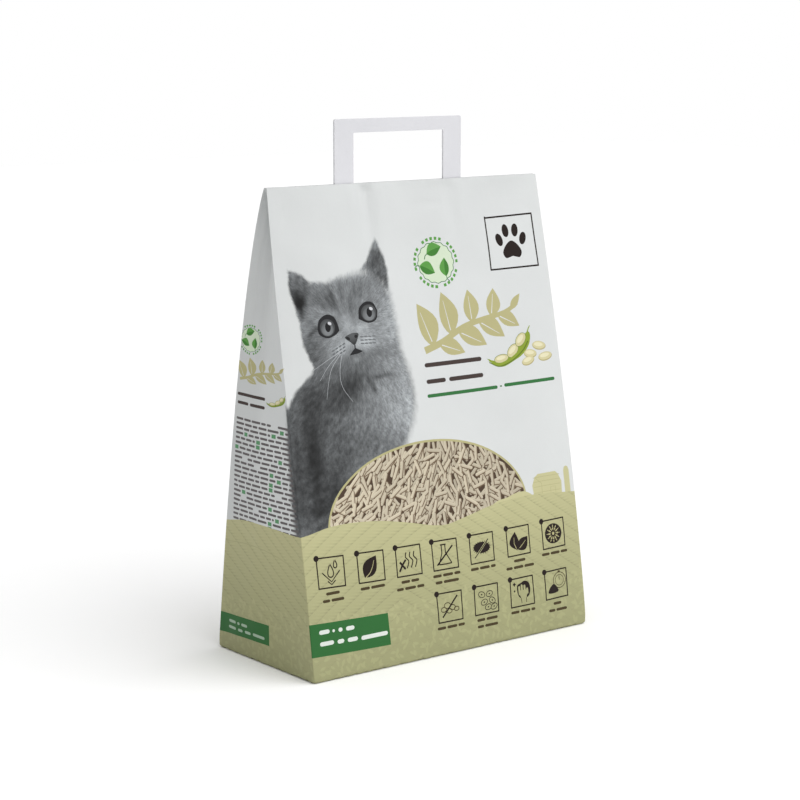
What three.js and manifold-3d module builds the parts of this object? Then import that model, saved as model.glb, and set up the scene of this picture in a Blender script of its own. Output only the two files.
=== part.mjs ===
// Filled paper litter sack: block bottom, side gussets, pinched top and a flat paper carry handle.
// Units are millimetres and +Z is up. The origin is the centre of the base, on the surface that
// the sack stands on. The main printed panel faces -Y and the sack's width runs along X.

import * as THREE from 'three';
import { mergeVertices } from 'three/addons/utils/BufferGeometryUtils.js';
import Module from 'manifold-3d';

const wasm = await Module();
wasm.setup();

// Driving dimensions

const SACK = {
  height: 462,
  baseWidth: 348,
  topWidth: 336,
  baseDepth: 164,
  topThickness: 4.2, // front, gusset and back plies glued flat
};

const HANDLE = {
  span: 157, // outside to outside of the legs
  offset: -9.5, // centre of the loop from the sack's centre line
  rise: 62, // above the sack's top edge
  legWidth: 23,
  gripHeight: 13.4, // the strip is folded double where the hand goes
  thickness: 2,
  cornerRadius: 2.5,
  rootDepth: 40, // length of leg glued in between the plies
};

const PLY_GAP = 0.3; // between the handle's legs and the plies around them

// How the folds run from the base to the top edge: the half depth falls as (1 - t^bend)^fullness,
// where t is the height as a share of the sack's. The back is fuller than the front.

const FRONT_TAPER = { bend: 1.17, fullness: 1.05 };
const BACK_TAPER = { bend: 0.99, fullness: 0.67 };
const WIDTH_TAPER_POWER = 3.1; // most of the narrowing is close to the top edge

// How far the litter pushes each panel out between its folds, and how the gussets tuck in

const PANEL_BULGE = { front: 4, back: 6, side: 3 };
const BULGE_SKEW = 0.75; // below 1 puts the fullest height under the middle
const SIDE_BULGE_TOP = 0.7; // share of the height where the side stops bulging
const GUSSET_TUCK = 24; // depth of the centre crease at the top edge
const TUCK_START = 0.45; // share of the height where the crease begins
const TUCK_POWER = 2.2;

// Edges of the base and the folds

const BASE_ROUND = 4; // radius between the base and the panels
const FOLD_ROUND = 1; // the paper's own bend radius
const FOOT_ROUND = 6; // the four folds soften to this radius at the floor
const FOOT_HEIGHT = 14; // height over which they sharpen again

// Mesh steps

const PANEL_STEPS = 14;
const FLANK_STEPS = 3;
const BASE_ROUND_STEPS = 4;
const FOOT_STEPS = 3;
const WALL_STEPS = 22;
const TOP_CROWDING = 1.4; // above 1 sets the sections closer together towards the top

function foldDepth(t, taper) {
  const open = (1 - t ** taper.bend) ** taper.fullness;
  return (SACK.topThickness + (SACK.baseDepth - SACK.topThickness) * open) / 2;
}

function foldWidth(t) {
  return (SACK.baseWidth - (SACK.baseWidth - SACK.topWidth) * t ** WIDTH_TAPER_POWER) / 2;
}

function panelBulge(t, depth) {
  return depth * Math.sin(Math.PI * t ** BULGE_SKEW);
}

function sideBulge(t) {
  const share = Math.min(1, t / SIDE_BULGE_TOP);
  return PANEL_BULGE.side * Math.sin(Math.PI * share) ** 2;
}

function gussetTuck(t) {
  const share = Math.max(0, (t - TUCK_START) / (1 - TUCK_START));
  return GUSSET_TUCK * share ** TUCK_POWER;
}

/** Inset of the outline where the base turns up into the panels. */
function baseInset(z) {
  if (z >= BASE_ROUND) return 0;
  return BASE_ROUND - Math.sqrt(BASE_ROUND ** 2 - (BASE_ROUND - z) ** 2);
}

function foldRadius(z) {
  const share = Math.max(0, 1 - z / FOOT_HEIGHT);
  return FOLD_ROUND + (FOOT_ROUND - FOLD_ROUND) * share ** 2;
}

/** Shares from -1 to 1, both ends left out. */
function innerShares(steps) {
  return Array.from({ length: steps - 1 }, (_, i) => -1 + (2 * (i + 1)) / steps);
}

/** Three points that round the fold between its two neighbours. */
function roundedFold(before, fold, after, radius) {
  const start = fold.clone().add(before.clone().sub(fold).setLength(radius));
  const end = fold.clone().add(after.clone().sub(fold).setLength(radius));
  const middle = start.clone().add(end).multiplyScalar(0.25).add(fold.clone().multiplyScalar(0.5));
  return [start, middle, end];
}

/** The sack's closed outline at height z, anticlockwise from above. */
function section(z) {
  const t = z / SACK.height;
  const inset = baseInset(z);
  const halfWidth = foldWidth(t) - inset;
  const front = foldDepth(t, FRONT_TAPER) - inset;
  const back = foldDepth(t, BACK_TAPER) - inset;
  const frontBulge = panelBulge(t, PANEL_BULGE.front);
  const backBulge = panelBulge(t, PANEL_BULGE.back);

  const frontPanel = innerShares(PANEL_STEPS).map(
    (u) => new THREE.Vector2(halfWidth * u, -front - frontBulge * (1 - u * u)),
  );
  const backPanel = innerShares(PANEL_STEPS).map(
    (u) => new THREE.Vector2(-halfWidth * u, back + backBulge * (1 - u * u)),
  );
  const gusset = innerShares(2 * FLANK_STEPS).map((v) => {
    const out = sideBulge(t) * (1 - v * v) - gussetTuck(t) * (1 - Math.abs(v));
    return new THREE.Vector2(halfWidth + out, -front + ((front + back) * (v + 1)) / 2);
  });
  const leftGusset = gusset.map((p) => new THREE.Vector2(-p.x, p.y)).reverse();

  const panels = [frontPanel, gusset, backPanel, leftGusset];
  const folds = [
    new THREE.Vector2(halfWidth, -front),
    new THREE.Vector2(halfWidth, back),
    new THREE.Vector2(-halfWidth, back),
    new THREE.Vector2(-halfWidth, -front),
  ];
  return panels.flatMap((panel, i) => {
    const next = panels[(i + 1) % panels.length];
    return [...panel, ...roundedFold(panel.at(-1), folds[i], next[0], foldRadius(z))];
  });
}

/** Heights of the sections: close together round the base's edge, then up the panels. */
function sectionHeights() {
  const heights = [];
  for (let i = 0; i < BASE_ROUND_STEPS; i += 1) {
    heights.push(BASE_ROUND * (1 - Math.cos((i / BASE_ROUND_STEPS) * (Math.PI / 2))));
  }
  for (let i = 0; i < FOOT_STEPS; i += 1) {
    heights.push(BASE_ROUND + ((FOOT_HEIGHT - BASE_ROUND) * i) / FOOT_STEPS);
  }
  for (let i = 0; i <= WALL_STEPS; i += 1) {
    const share = 1 - (1 - i / WALL_STEPS) ** TOP_CROWDING;
    heights.push(FOOT_HEIGHT + (SACK.height - FOOT_HEIGHT) * share);
  }
  return heights;
}

/** Closed mesh through the sections, with a flat face at each end. */
function loft(heights, outlineAt) {
  const outlines = heights.map(outlineAt);
  const count = outlines[0].length;
  const positions = outlines.flatMap((outline, i) => outline.flatMap((p) => [p.x, p.y, heights[i]]));
  const indices = [];
  for (let level = 0; level < heights.length - 1; level += 1) {
    for (let i = 0; i < count; i += 1) {
      const a = level * count + i;
      const b = level * count + ((i + 1) % count);
      indices.push(a, b, b + count, a, b + count, a + count);
    }
  }
  const top = (heights.length - 1) * count;
  for (const [a, b, c] of THREE.ShapeUtils.triangulateShape(outlines[0], [])) indices.push(c, b, a);
  for (const [a, b, c] of THREE.ShapeUtils.triangulateShape(outlines.at(-1), [])) {
    indices.push(top + a, top + b, top + c);
  }
  const geometry = new THREE.BufferGeometry();
  geometry.setAttribute('position', new THREE.Float32BufferAttribute(positions, 3));
  geometry.setIndex(indices);
  return geometry;
}

function toSolid(geometry) {
  const bare = geometry.clone();
  bare.deleteAttribute('normal');
  bare.deleteAttribute('uv');
  const merged = mergeVertices(bare);
  return new wasm.Manifold(new wasm.Mesh({
    numProp: 3,
    vertProperties: new Float32Array(merged.attributes.position.array),
    triVerts: new Uint32Array(merged.index.array),
  }));
}

function toGeometry(solid) {
  const mesh = solid.getMesh();
  const geometry = new THREE.BufferGeometry();
  geometry.setAttribute('position', new THREE.BufferAttribute(mesh.vertProperties, 3));
  geometry.setIndex(new THREE.BufferAttribute(mesh.triVerts, 1));
  geometry.computeVertexNormals();
  return geometry;
}

/** Centres of the handle's two legs along X. */
function legCentres() {
  const reach = (HANDLE.span - HANDLE.legWidth) / 2;
  return [HANDLE.offset - reach, HANDLE.offset + reach];
}

/** Slot between the plies that a leg is glued into, open at the sack's top edge. */
function legPocket(x) {
  const overshoot = 5;
  const pocket = new THREE.BoxGeometry(
    HANDLE.legWidth + 2 * PLY_GAP,
    HANDLE.thickness + 2 * PLY_GAP,
    HANDLE.rootDepth + overshoot,
  );
  pocket.translate(x, 0, SACK.height + (overshoot - HANDLE.rootDepth) / 2);
  return toSolid(pocket);
}

/** Flat loop of layered paper: two legs and a narrower grip, cut in one piece. */
function handleLoop() {
  const left = HANDLE.offset - HANDLE.span / 2;
  const right = HANDLE.offset + HANDLE.span / 2;
  const foot = SACK.height - HANDLE.rootDepth + PLY_GAP;
  const top = SACK.height + HANDLE.rise;
  const r = HANDLE.cornerRadius;
  const loop = new THREE.Shape();
  loop.moveTo(left, foot);
  loop.lineTo(left + HANDLE.legWidth, foot);
  loop.lineTo(left + HANDLE.legWidth, top - HANDLE.gripHeight);
  loop.lineTo(right - HANDLE.legWidth, top - HANDLE.gripHeight);
  loop.lineTo(right - HANDLE.legWidth, foot);
  loop.lineTo(right, foot);
  loop.lineTo(right, top - r);
  loop.absarc(right - r, top - r, r, 0, Math.PI / 2, false);
  loop.absarc(left + r, top - r, r, Math.PI / 2, Math.PI, false);
  loop.closePath();
  return new THREE.ExtrudeGeometry(loop, {
    depth: HANDLE.thickness,
    bevelEnabled: false,
    curveSegments: 5,
  });
}

function makeSack() {
  let solid = toSolid(loft(sectionHeights(), section));
  for (const x of legCentres()) {
    solid = solid.subtract(legPocket(x));
  }
  const paper = new THREE.MeshStandardMaterial({ color: '#d9dcda', roughness: 0.62, metalness: 0 });
  const mesh = new THREE.Mesh(toGeometry(solid), paper);
  mesh.name = 'sack';
  return mesh;
}

function makeHandle() {
  const paper = new THREE.MeshStandardMaterial({ color: '#e3e3e7', roughness: 0.75, metalness: 0 });
  const mesh = new THREE.Mesh(handleLoop(), paper);
  mesh.name = 'handle';
  mesh.rotation.x = Math.PI / 2; // the loop's flat outline stands up in the XZ plane
  mesh.position.y = HANDLE.thickness / 2;
  return mesh;
}

const litterSack = new THREE.Group();
litterSack.add(makeSack(), makeHandle());

export default litterSack;
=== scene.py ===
"""Looks of the cat litter bag: a folded paper sack with a printed front, and a flat paper handle.

The sack is one sheet of paper wrapped round four folds. A point of it is (s, z) in millimetres:
s runs round the sack from the lap seam on the back and is 0 in the middle of the front, and z is
the height. The print is laid on that flat sheet as shapes, the sheet is cut along their outlines,
and the cut sheet is then folded up into the sack.
"""

import math

import bpy
import numpy as np
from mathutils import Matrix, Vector
from mathutils.geometry import delaunay_2d_cdt


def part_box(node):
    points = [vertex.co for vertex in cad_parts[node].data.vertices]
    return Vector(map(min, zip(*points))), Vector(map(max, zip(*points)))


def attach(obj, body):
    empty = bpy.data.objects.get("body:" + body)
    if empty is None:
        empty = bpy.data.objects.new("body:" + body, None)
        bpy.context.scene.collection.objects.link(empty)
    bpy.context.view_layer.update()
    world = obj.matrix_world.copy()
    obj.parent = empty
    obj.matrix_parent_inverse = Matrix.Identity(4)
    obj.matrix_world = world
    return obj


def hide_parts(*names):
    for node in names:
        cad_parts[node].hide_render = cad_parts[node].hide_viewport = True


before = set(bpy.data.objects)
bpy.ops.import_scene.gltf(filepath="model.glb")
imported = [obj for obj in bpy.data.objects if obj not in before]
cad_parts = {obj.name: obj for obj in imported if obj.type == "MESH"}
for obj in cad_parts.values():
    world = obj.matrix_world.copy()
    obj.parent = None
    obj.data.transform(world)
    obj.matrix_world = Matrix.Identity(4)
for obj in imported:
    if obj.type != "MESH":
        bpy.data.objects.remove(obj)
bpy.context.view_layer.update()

MM = 0.001
sack_low, sack_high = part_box("sack")
handle_low, handle_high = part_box("handle")

# ---- The folded sack, in millimetres --------------------------------------------------------

HEIGHT = (sack_high.z - sack_low.z) / MM
BASE_WIDTH = 348.0
TOP_NARROWING = 12.0
NARROWING_POWER = 3.1
BASE_DEPTH = 164.0
TOP_THICKNESS = 4.2
TOP_EASE = 0.015
FRONT_TAPER = {"bend": 1.17, "fullness": 1.05, "bulge": 4.0}
BACK_TAPER = {"bend": 0.99, "fullness": 0.67, "bulge": 6.0}
BULGE_SKEW = 0.75
SIDE_BULGE = 3.0
SIDE_BULGE_TOP = 0.7
GUSSET_TUCK = 24.0
TUCK_START = 0.45
TUCK_POWER = 2.2
TUCK_SOFTNESS = 0.02
BASE_ROUND = 2.5
FOLD_ROUND = 1.0
FOOT_ROUND = 3.5
FOOT_HEIGHT = 14.0

HALF_WIDTH = BASE_WIDTH / 2
HALF_DEPTH = BASE_DEPTH / 2
BACK_FOLD = HALF_WIDTH + BASE_DEPTH
SIDE_MIDDLE = HALF_WIDTH + HALF_DEPTH
FOLDS = (-BACK_FOLD, -HALF_WIDTH, HALF_WIDTH, BACK_FOLD)
SEAM_X = 90.0
SHEET_START = -(BACK_FOLD + HALF_WIDTH + SEAM_X)
SHEET_END = BACK_FOLD + HALF_WIDTH - SEAM_X
LAP_WIDTH = 18.0
LAP_HEIGHT = 0.35
LAP_SLOPE = 3.0


def half_width(z):
    """Half the sack's width between its side folds at height z."""
    t = np.clip(z / HEIGHT, 0, 1)
    return HALF_WIDTH - TOP_NARROWING / 2 * t ** NARROWING_POWER


def half_depth(z, taper):
    """How far the front or back panel stands from the middle plane at height z."""
    left = 1 - np.clip(z / HEIGHT, 0, 1) ** taper["bend"]
    full = taper["fullness"]
    closing = (left + TOP_EASE) ** full - TOP_EASE ** full
    closing = closing / ((1 + TOP_EASE) ** full - TOP_EASE ** full)
    return (TOP_THICKNESS + (BASE_DEPTH - TOP_THICKNESS) * closing) / 2


def base_inset(z):
    """How far the walls curve in as they reach the floor."""
    rise = np.clip(BASE_ROUND - z, 0, BASE_ROUND)
    return BASE_ROUND - np.sqrt(BASE_ROUND ** 2 - rise ** 2)


def sharp_point(s, z):
    """Place of the sheet's point (s, z) on the sack, with every fold still sharp."""
    t = np.clip(z / HEIGHT, 0, 1)
    inset = base_inset(z)
    wide = half_width(z) - inset
    front = half_depth(z, FRONT_TAPER) - inset
    back = half_depth(z, BACK_TAPER) - inset
    swell = np.sin(np.pi * t ** BULGE_SKEW)
    side_swell = SIDE_BULGE * np.sin(np.pi * np.minimum(1, t / SIDE_BULGE_TOP)) ** 2
    tuck = GUSSET_TUCK * (np.maximum(0, t - TUCK_START) / (1 - TUCK_START)) ** TUCK_POWER

    along = np.abs(s)
    hand = np.sign(s)
    on_front = along <= HALF_WIDTH
    on_back = along > BACK_FOLD

    u_front = np.clip(s / HALF_WIDTH, -1, 1)
    u_back = hand * (1 - (along - BACK_FOLD) / HALF_WIDTH)
    v = np.clip((along - SIDE_MIDDLE) / HALF_DEPTH, -1, 1)
    crease = np.sqrt(v ** 2 + TUCK_SOFTNESS ** 2) / math.sqrt(1 + TUCK_SOFTNESS ** 2)

    x_side = hand * (wide + side_swell * (1 - v ** 2) - tuck * (1 - crease))
    y_side = -front + (v + 1) / 2 * (front + back)
    x = np.where(on_front, u_front * wide, np.where(on_back, u_back * wide, x_side))
    y_front = -front - FRONT_TAPER["bulge"] * swell * (1 - u_front ** 2)
    y_back = back + BACK_TAPER["bulge"] * swell * (1 - u_back ** 2)
    y = np.where(on_front, y_front, np.where(on_back, y_back, y_side))
    return np.stack([x, y, z + 0 * s], axis=-1)


def folded_point(s, z):
    """Place of (s, z) with the folds rounded, by a quadratic curve across each fold."""
    place = sharp_point(s, z)
    radius = FOLD_ROUND + (FOOT_ROUND - FOLD_ROUND) * np.maximum(0, 1 - z / FOOT_HEIGHT) ** 2
    for fold in FOLDS:
        step = (s - fold + radius) / (2 * radius)
        near = (step > 0) & (step < 1)
        step = np.clip(step, 0, 1)[..., None]
        corner = sharp_point(fold + 0 * s, z)
        before = sharp_point(fold - radius, z)
        after = sharp_point(fold + radius, z)
        arc = (1 - step) ** 2 * before + 2 * step * (1 - step) * corner + step ** 2 * after
        place = np.where(near[..., None], arc, place)
    return place


NORMAL_STEP = 0.2


def outward(surface, s, z):
    """Unit normals of a surface function, by small steps along the sheet."""
    up = np.minimum(z + NORMAL_STEP, HEIGHT)
    down = np.maximum(z - NORMAL_STEP, 0)
    right = np.minimum(s + NORMAL_STEP, SHEET_END)
    left = np.maximum(s - NORMAL_STEP, SHEET_START)
    across = surface(right, z) - surface(left, z)
    along = surface(s, up) - surface(s, down)
    normal = np.cross(across, along)
    return normal / np.linalg.norm(normal, axis=-1, keepdims=True)


def ripple(s, z, wavelength, seed, count=12):
    """A smooth random field of about -1 to 1, from plane waves near one wavelength."""
    rng = np.random.default_rng(seed)
    total = 0 * (s + z)
    for _ in range(count):
        heading, phase = rng.uniform(0, 2 * np.pi, 2)
        length = wavelength * rng.uniform(0.7, 1.6)
        distance = s * np.cos(heading) + z * np.sin(heading)
        total = total + np.sin(2 * np.pi * distance / length + phase)
    return total / math.sqrt(count)


def bump_at(s, z, centre, radii, turn=0.0):
    """A soft round hump of height 1, longest along its turned first axis."""
    ds, dz = s - centre[0], z - centre[1]
    cos, sin = math.cos(math.radians(turn)), math.sin(math.radians(turn))
    a = (ds * cos + dz * sin) / radii[0]
    b = (dz * cos - ds * sin) / radii[1]
    return np.exp(-(a ** 2 + b ** 2))


# Valleys and dents of the filled paper: (s, z), radii along and across, turn, depth.
DENTS = (
    ((-54, 452), (7.5, 46), 0, 3.4),
    ((-74, 446), (7, 34), 0, -0.5),
    ((-38, 440), (6, 40), 0, -0.4),
    ((52, 452), (9, 40), 0, 1.8),
    ((-150, 430), (16, 20), 20, 0.7),
    ((24, 438), (18, 3), -4, 0.5),
    ((120, 446), (26, 9), 8, 0.5),
    ((-110, 408), (34, 10), -12, 0.5),
    ((150, 300), (12, 60), 6, 0.5),
    ((90, 210), (60, 9), 14, 0.5),
    ((-30, 60), (70, 10), -6, 0.5),
    ((130, 30), (30, 8), 18, 0.6),
    ((-140, 60), (22, 8), -24, 0.5),
    ((-210, 380), (6, 40), 8, 0.8),
    ((-300, 370), (6, 44), -8, 0.8),
    ((-230, 200), (30, 7), 26, 0.9),
    ((-286, 120), (34, 8), -20, 0.9),
    ((-256, 52), (46, 7), 4, 0.8),
    ((212, 384), (6, 40), -8, 0.8),
    ((298, 372), (6, 44), 8, 0.8),
    ((226, 190), (30, 7), -24, 0.9),
    ((280, 96), (34, 8), 18, 0.9),
    ((-420, 420), (40, 8), 8, 0.8),
    ((-540, 330), (60, 9), -14, 1.0),
    ((-400, 210), (50, 12), 22, 1.0),
    ((-500, 90), (70, 10), 6, 0.9),
    ((372, 300), (16, 60), 4, 0.8),
    ((380, 150), (24, 9), -20, 0.9),
)
# Unevenness all over the paper: height, wavelength, seed.
UNEVENNESS = ((0.42, 95, 3), (0.16, 34, 4))
# How far from the folds, the foot and the top the relief has faded out.
RELIEF_FADE = 16.0
TOP_FADE = 6.0
CLOSE = 1e-3


def relief(s, z):
    """How far the paper stands out of its ideal shape, in millimetres."""
    height = sum(size * ripple(s, z, wavelength, seed) for size, wavelength, seed in UNEVENNESS)
    for centre, radii, turn, depth in DENTS:
        height = height - depth * bump_at(s, z, centre, radii, turn)
    lines = [*FOLDS, -SIDE_MIDDLE, SIDE_MIDDLE]
    fold_distance = np.min([np.abs(s - line) for line in lines], axis=0)
    calm = np.clip(fold_distance / RELIEF_FADE, 0, 1) * np.clip(z / RELIEF_FADE, 0, 1)
    calm = calm * np.clip((HEIGHT - z) / TOP_FADE, 0, 1)
    lap = LAP_HEIGHT * np.clip((s - SHEET_END + LAP_WIDTH) / LAP_SLOPE, 0, 1)
    return height * calm + lap


def sack_surface(s, z):
    """Final place of the sheet's point (s, z) on the sack."""
    place = folded_point(s, z) + outward(folded_point, s, z) * relief(s, z)[..., None]
    place[..., 2] = np.where(z > HEIGHT - CLOSE, HEIGHT, np.maximum(place[..., 2], 0))
    return place


# ---- Inks ----------------------------------------------------------------------------------


INK_LEVEL = 0.9
COOL_TINT = np.array([0.975, 1.0, 1.015])


def linear(value):
    """Linear ink, from shares of full brightness as they look on the lit front."""
    return INK_LEVEL * ((value + 0.055) / 1.055) ** 2.4


def seen(red, green, blue):
    """The ink that looks like these 0 to 255 values."""
    return linear(np.array([red, green, blue], float) / 255)


def seen_grey(tone):
    """Slightly cool grey inks, from an array of 0 to 255 tones."""
    return linear(np.clip(tone, 0, 255)[:, None] / 255 * COOL_TINT)


PAPER = seen(221, 223.5, 223)
SOFT_WHITE = seen(226, 232, 226)
BROWN = seen(26, 10, 2)
LINE_BROWN = seen(32, 18, 6)
CAPTION_BROWN = seen(70, 58, 32)
KHAKI = seen(186, 180, 132)
LABEL_GREEN = seen(44, 106, 50)
LEAF_GREEN = seen(92, 156, 70)
LEAF_DARK = seen(64, 128, 48)
PALE_GREEN = seen(214, 228, 202)
ROW_GREEN = seen(50, 114, 60)
TEXT_DARK = seen(66, 54, 50)
TEXT_SMALL = seen(100, 95, 95)
TAG_GREEN = seen(92, 150, 104)
POD_GREEN = seen(140, 160, 52)
POD_DARK = seen(98, 122, 32)
BEAN = seen(214, 206, 160)
BEAN_LIGHT = seen(232, 226, 190)
BEAN_SHADE = seen(178, 168, 118)
BARN = seen(200, 196, 150)
BARN_LINE = seen(182, 178, 132)
HILL_TOP = seen(190, 187, 142)
HILL_FOOT = seen(160, 160, 119)
PELLET_GAP = seen(76, 59, 45)
PELLET_DARK = seen(118, 98, 76)
PELLET_BODY = seen(214, 199, 174)
PELLET_LIGHT = seen(228, 217, 192)
LABEL_PALE = seen(170, 192, 170)
HANDLE_WHITE = seen(226, 226, 230)
EYE_RIM = seen(30, 30, 32)
PUPIL = seen(16, 16, 18)
EYE_SPARK = seen(206, 208, 212)
NOSTRIL_LEFT = seen(26, 26, 28)
NOSTRIL_RIGHT = seen(28, 28, 30)
MUZZLE_LINE = seen(66, 67, 70)
MOUTH = seen(30, 30, 33)
SPOT_LEFT = seen(104, 107, 110)
SPOT_RIGHT = seen(116, 119, 122)
WHISKER = seen(176, 179, 182)


def blend(low, high, share):
    """Colours between two inks, for an array of shares from 0 to 1."""
    share = np.clip(share, 0, 1)[:, None]
    return low * (1 - share) + high * share


# Painted shade on the bare paper round the sack, darker near the left folds and on the back half of the left
# side: place on the sheet, share.
PAPER_PAINTED_SHADE = (
    (-BACK_FOLD - 1, 1.0), (-BACK_FOLD + 1, 0.90), (-SIDE_MIDDLE - 10, 0.92),
    (-SIDE_MIDDLE + 10, 0.99), (-HALF_WIDTH - 1, 1.0),
    (-HALF_WIDTH + 1, 0.92), (-HALF_WIDTH + 60, 0.96), (-20, 0.985), (60, 0.975),
    (HALF_WIDTH - 40, 0.98), (HALF_WIDTH, 1.0),
)


def paper_ink_with_painted_shade(s, z):
    """The bare paper with painted shade: a little darker near the left folds and on the back half of the
    left side.
    """
    place, share = np.transpose(PAPER_PAINTED_SHADE)
    return PAPER * np.interp(s, place, share)[:, None]


# ---- Flat outlines -------------------------------------------------------------------------


def oval(cx, cz, rx, rz=None, turn=0.0, count=28):
    """Closed outline of an ellipse."""
    rz = rx if rz is None else rz
    angle = np.arange(count) * 2 * np.pi / count
    return turned(np.stack([rx * np.cos(angle), rz * np.sin(angle)], 1), turn) + (cx, cz)


def turned(points, degrees):
    """Points turned anticlockwise about the origin."""
    cos, sin = math.cos(math.radians(degrees)), math.sin(math.radians(degrees))
    return np.asarray(points, float) @ np.array([[cos, sin], [-sin, cos]])


def flowing(points, steps=4):
    """An open smooth curve through all the points."""
    points = np.asarray(points, float)
    ends = np.vstack([2 * points[0] - points[1], points, 2 * points[-1] - points[-2]])
    made = []
    for a, b, c, d in zip(ends, ends[1:], ends[2:], ends[3:]):
        for t in np.arange(steps) / steps:
            line = 2 * b + (c - a) * t + (2 * a - 5 * b + 4 * c - d) * t ** 2
            made.append((line + (3 * b - a - 3 * c + d) * t ** 3) / 2)
    return np.array([*made, points[-1]])


def joined(*runs, steps=4):
    """A closed outline of smooth runs that meet at corners. Each run starts where the last ends."""
    return np.vstack([flowing(run, steps)[:-1] for run in runs])


def looped(points, steps=4):
    """A closed smooth outline through all the points."""
    points = list(points)
    whole = flowing(points[-2:] + points + points[:2], steps)
    return whole[2 * steps:-(steps + 1)]


def ribbon(points, width, end_width=None):
    """Outline of a line of some width, which may change from its start to its end."""
    points = np.asarray(points, float)
    end_width = width if end_width is None else end_width
    forward = np.gradient(points, axis=0)
    forward /= np.linalg.norm(forward, axis=1, keepdims=True) + 1e-9
    side = np.stack([-forward[:, 1], forward[:, 0]], 1)
    half = np.linspace(width, end_width, len(points))[:, None] / 2
    return np.vstack([points + side * half, (points - side * half)[::-1]])


def leaf(start, tip, fatness, bend=0.0, steps=9):
    """A pointed leaf between two points. Fatness and bend are shares of its length."""
    start, tip = np.array(start, float), np.array(tip, float)
    along = tip - start
    side = np.array([-along[1], along[0]])
    t = np.linspace(0, 1, steps)[:, None]
    spine = start + along * t + side * bend * np.sin(np.pi * t)
    swell = side * fatness / 2 * np.sin(np.pi * t ** 0.85)
    return np.vstack([spine + swell, (spine - swell)[-2:0:-1]])


def pill(x0, x1, z, height):
    """A level bar with round ends."""
    half = min(height, x1 - x0) / 2
    angle = np.radians(np.arange(-90, 91, 45))
    right = np.stack([x1 - half + half * np.cos(angle), z + half * np.sin(angle)], 1)
    left = np.stack([x0 + half - half * np.cos(angle), z - half * np.sin(angle)], 1)
    return np.vstack([right, left])


def rectangle(x0, x1, y0, y1, steps=1):
    """Closed rectangle, its long sides cut into steps."""
    x = np.linspace(x0, x1, steps + 1)
    near = np.stack([x, y0 + 0 * x], 1)
    far = np.stack([x[::-1], y1 + 0 * x], 1)
    return np.vstack([near, far])


def with_short_edges(outline, longest):
    """The same closed outline with its long edges cut into equal steps."""
    made = []
    for start, end in zip(outline, np.roll(outline, -1, axis=0)):
        count = max(1, math.ceil(np.linalg.norm(end - start) / longest))
        made.extend(start + (end - start) * step / count for step in range(count))
    return np.array(made)


# ---- The press: shapes laid on the sheet ----------------------------------------------------

LONGEST_EDGE = 12.0


class Press:
    """The print, as shapes on the flat sheet. A later shape covers an earlier one."""

    def __init__(self):
        self.shapes = []

    def lay(self, outline, ink, rows=None, fur=None):
        """Adds a shape. Ink, rows and fur may be functions of the sheet's (s, z)."""
        outline = with_short_edges(np.asarray(outline, float), LONGEST_EDGE)
        before = np.roll(outline, 1, axis=0)
        area = (before[:, 0] * outline[:, 1] - before[:, 1] * outline[:, 0]).sum()
        outline = outline if area > 0 else outline[::-1]
        self.shapes.append({"outline": outline, "ink": ink, "rows": rows, "fur": fur})


class Stamp:
    """Lays shapes on one panel, given as level and height from a chosen place."""

    def __init__(self, press, to_sheet, origin=(0.0, 0.0), scale=(1.0, 1.0)):
        self.press = press
        self.to_sheet = to_sheet
        self.origin = np.array(origin, float)
        self.scale = np.array(scale, float)

    def at(self, x, z, scale=(1.0, 1.0)):
        """The same panel seen from another origin."""
        return Stamp(self.press, self.to_sheet, self.origin + np.array((x, z)) * self.scale,
                     self.scale * scale)

    def fill(self, outline, ink, **more):
        """Lays a filled shape."""
        points = np.asarray(outline, float) * self.scale + self.origin
        self.press.lay(self.to_sheet(points), ink, **more)

    def line(self, points, width, ink, end_width=None):
        """Lays an open line."""
        self.fill(ribbon(points, width, end_width), ink)

    def ring(self, cx, cz, rx, rz, width, ink, count=24):
        """Lays a closed round line, as two halves."""
        angle = np.linspace(0, 2 * np.pi, count + 1)
        circle = np.stack([cx + rx * np.cos(angle), cz + rz * np.sin(angle)], 1)
        self.line(circle[:count // 2 + 1], width, ink)
        self.line(circle[count // 2:], width, ink)


def front_to_sheet(points):
    """Front panel places (x, z) on the sheet."""
    points = np.asarray(points, float)
    return np.stack([points[:, 0] * HALF_WIDTH / half_width(points[:, 1]), points[:, 1]], 1)


def side_to_sheet(points):
    """Left panel places on the sheet. Level counts towards the front, as that side is seen."""
    points = np.asarray(points, float)
    front = half_depth(points[:, 1], FRONT_TAPER)
    back = half_depth(points[:, 1], BACK_TAPER)
    v = (-points[:, 0] + front) / (front + back) * 2 - 1
    return np.stack([-SIDE_MIDDLE - HALF_DEPTH * v, points[:, 1]], 1)


def front_x(s, z):
    """Level place on the front panel of sheet points."""
    return s / HALF_WIDTH * half_width(z)


# ---- Print: kitten -------------------------------------------------------------------------

# The kitten's outline runs up its back, round the head and down its chest.
KITTEN_BODY = looped((
    (-182, 128), (-180, 246), (-173, 258), (-166, 268), (-157, 277), (-147, 284), (-139, 292),
    (-143, 302), (-147, 314), (-149, 328), (-148, 344), (-141, 364), (-129, 372), (-113, 372),
    (-98, 376), (-84, 378), (-68, 380), (-52, 378), (-42, 366), (-37, 352), (-35, 336),
    (-33, 318), (-32, 303), (-28, 290), (-24, 274), (-22, 256), (-24, 240), (-31, 224),
    (-42, 206), (-66, 170), (-120, 128),
))
LEFT_EAR = joined(
    ((-155, 386), (-147, 383), (-139, 379), (-127, 370)),
    ((-127, 370), (-131, 354), (-140, 337)),
    ((-140, 337), (-149, 338), (-152, 351), (-156, 366), (-155, 386)),
)
RIGHT_EAR = joined(
    ((-72, 379), (-65, 386), (-57, 397), (-48, 409)),
    ((-48, 409), (-43, 398), (-39, 384), (-39, 368), (-41, 355)),
    ((-41, 355), (-54, 361), (-66, 371), (-72, 379)),
)
# Each ear fades out below the line through its two root points.
LEFT_EAR_ROOT = ((-126, 370), (-140, 335))
RIGHT_EAR_ROOT = ((-39, 354), (-74, 380))
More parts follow.
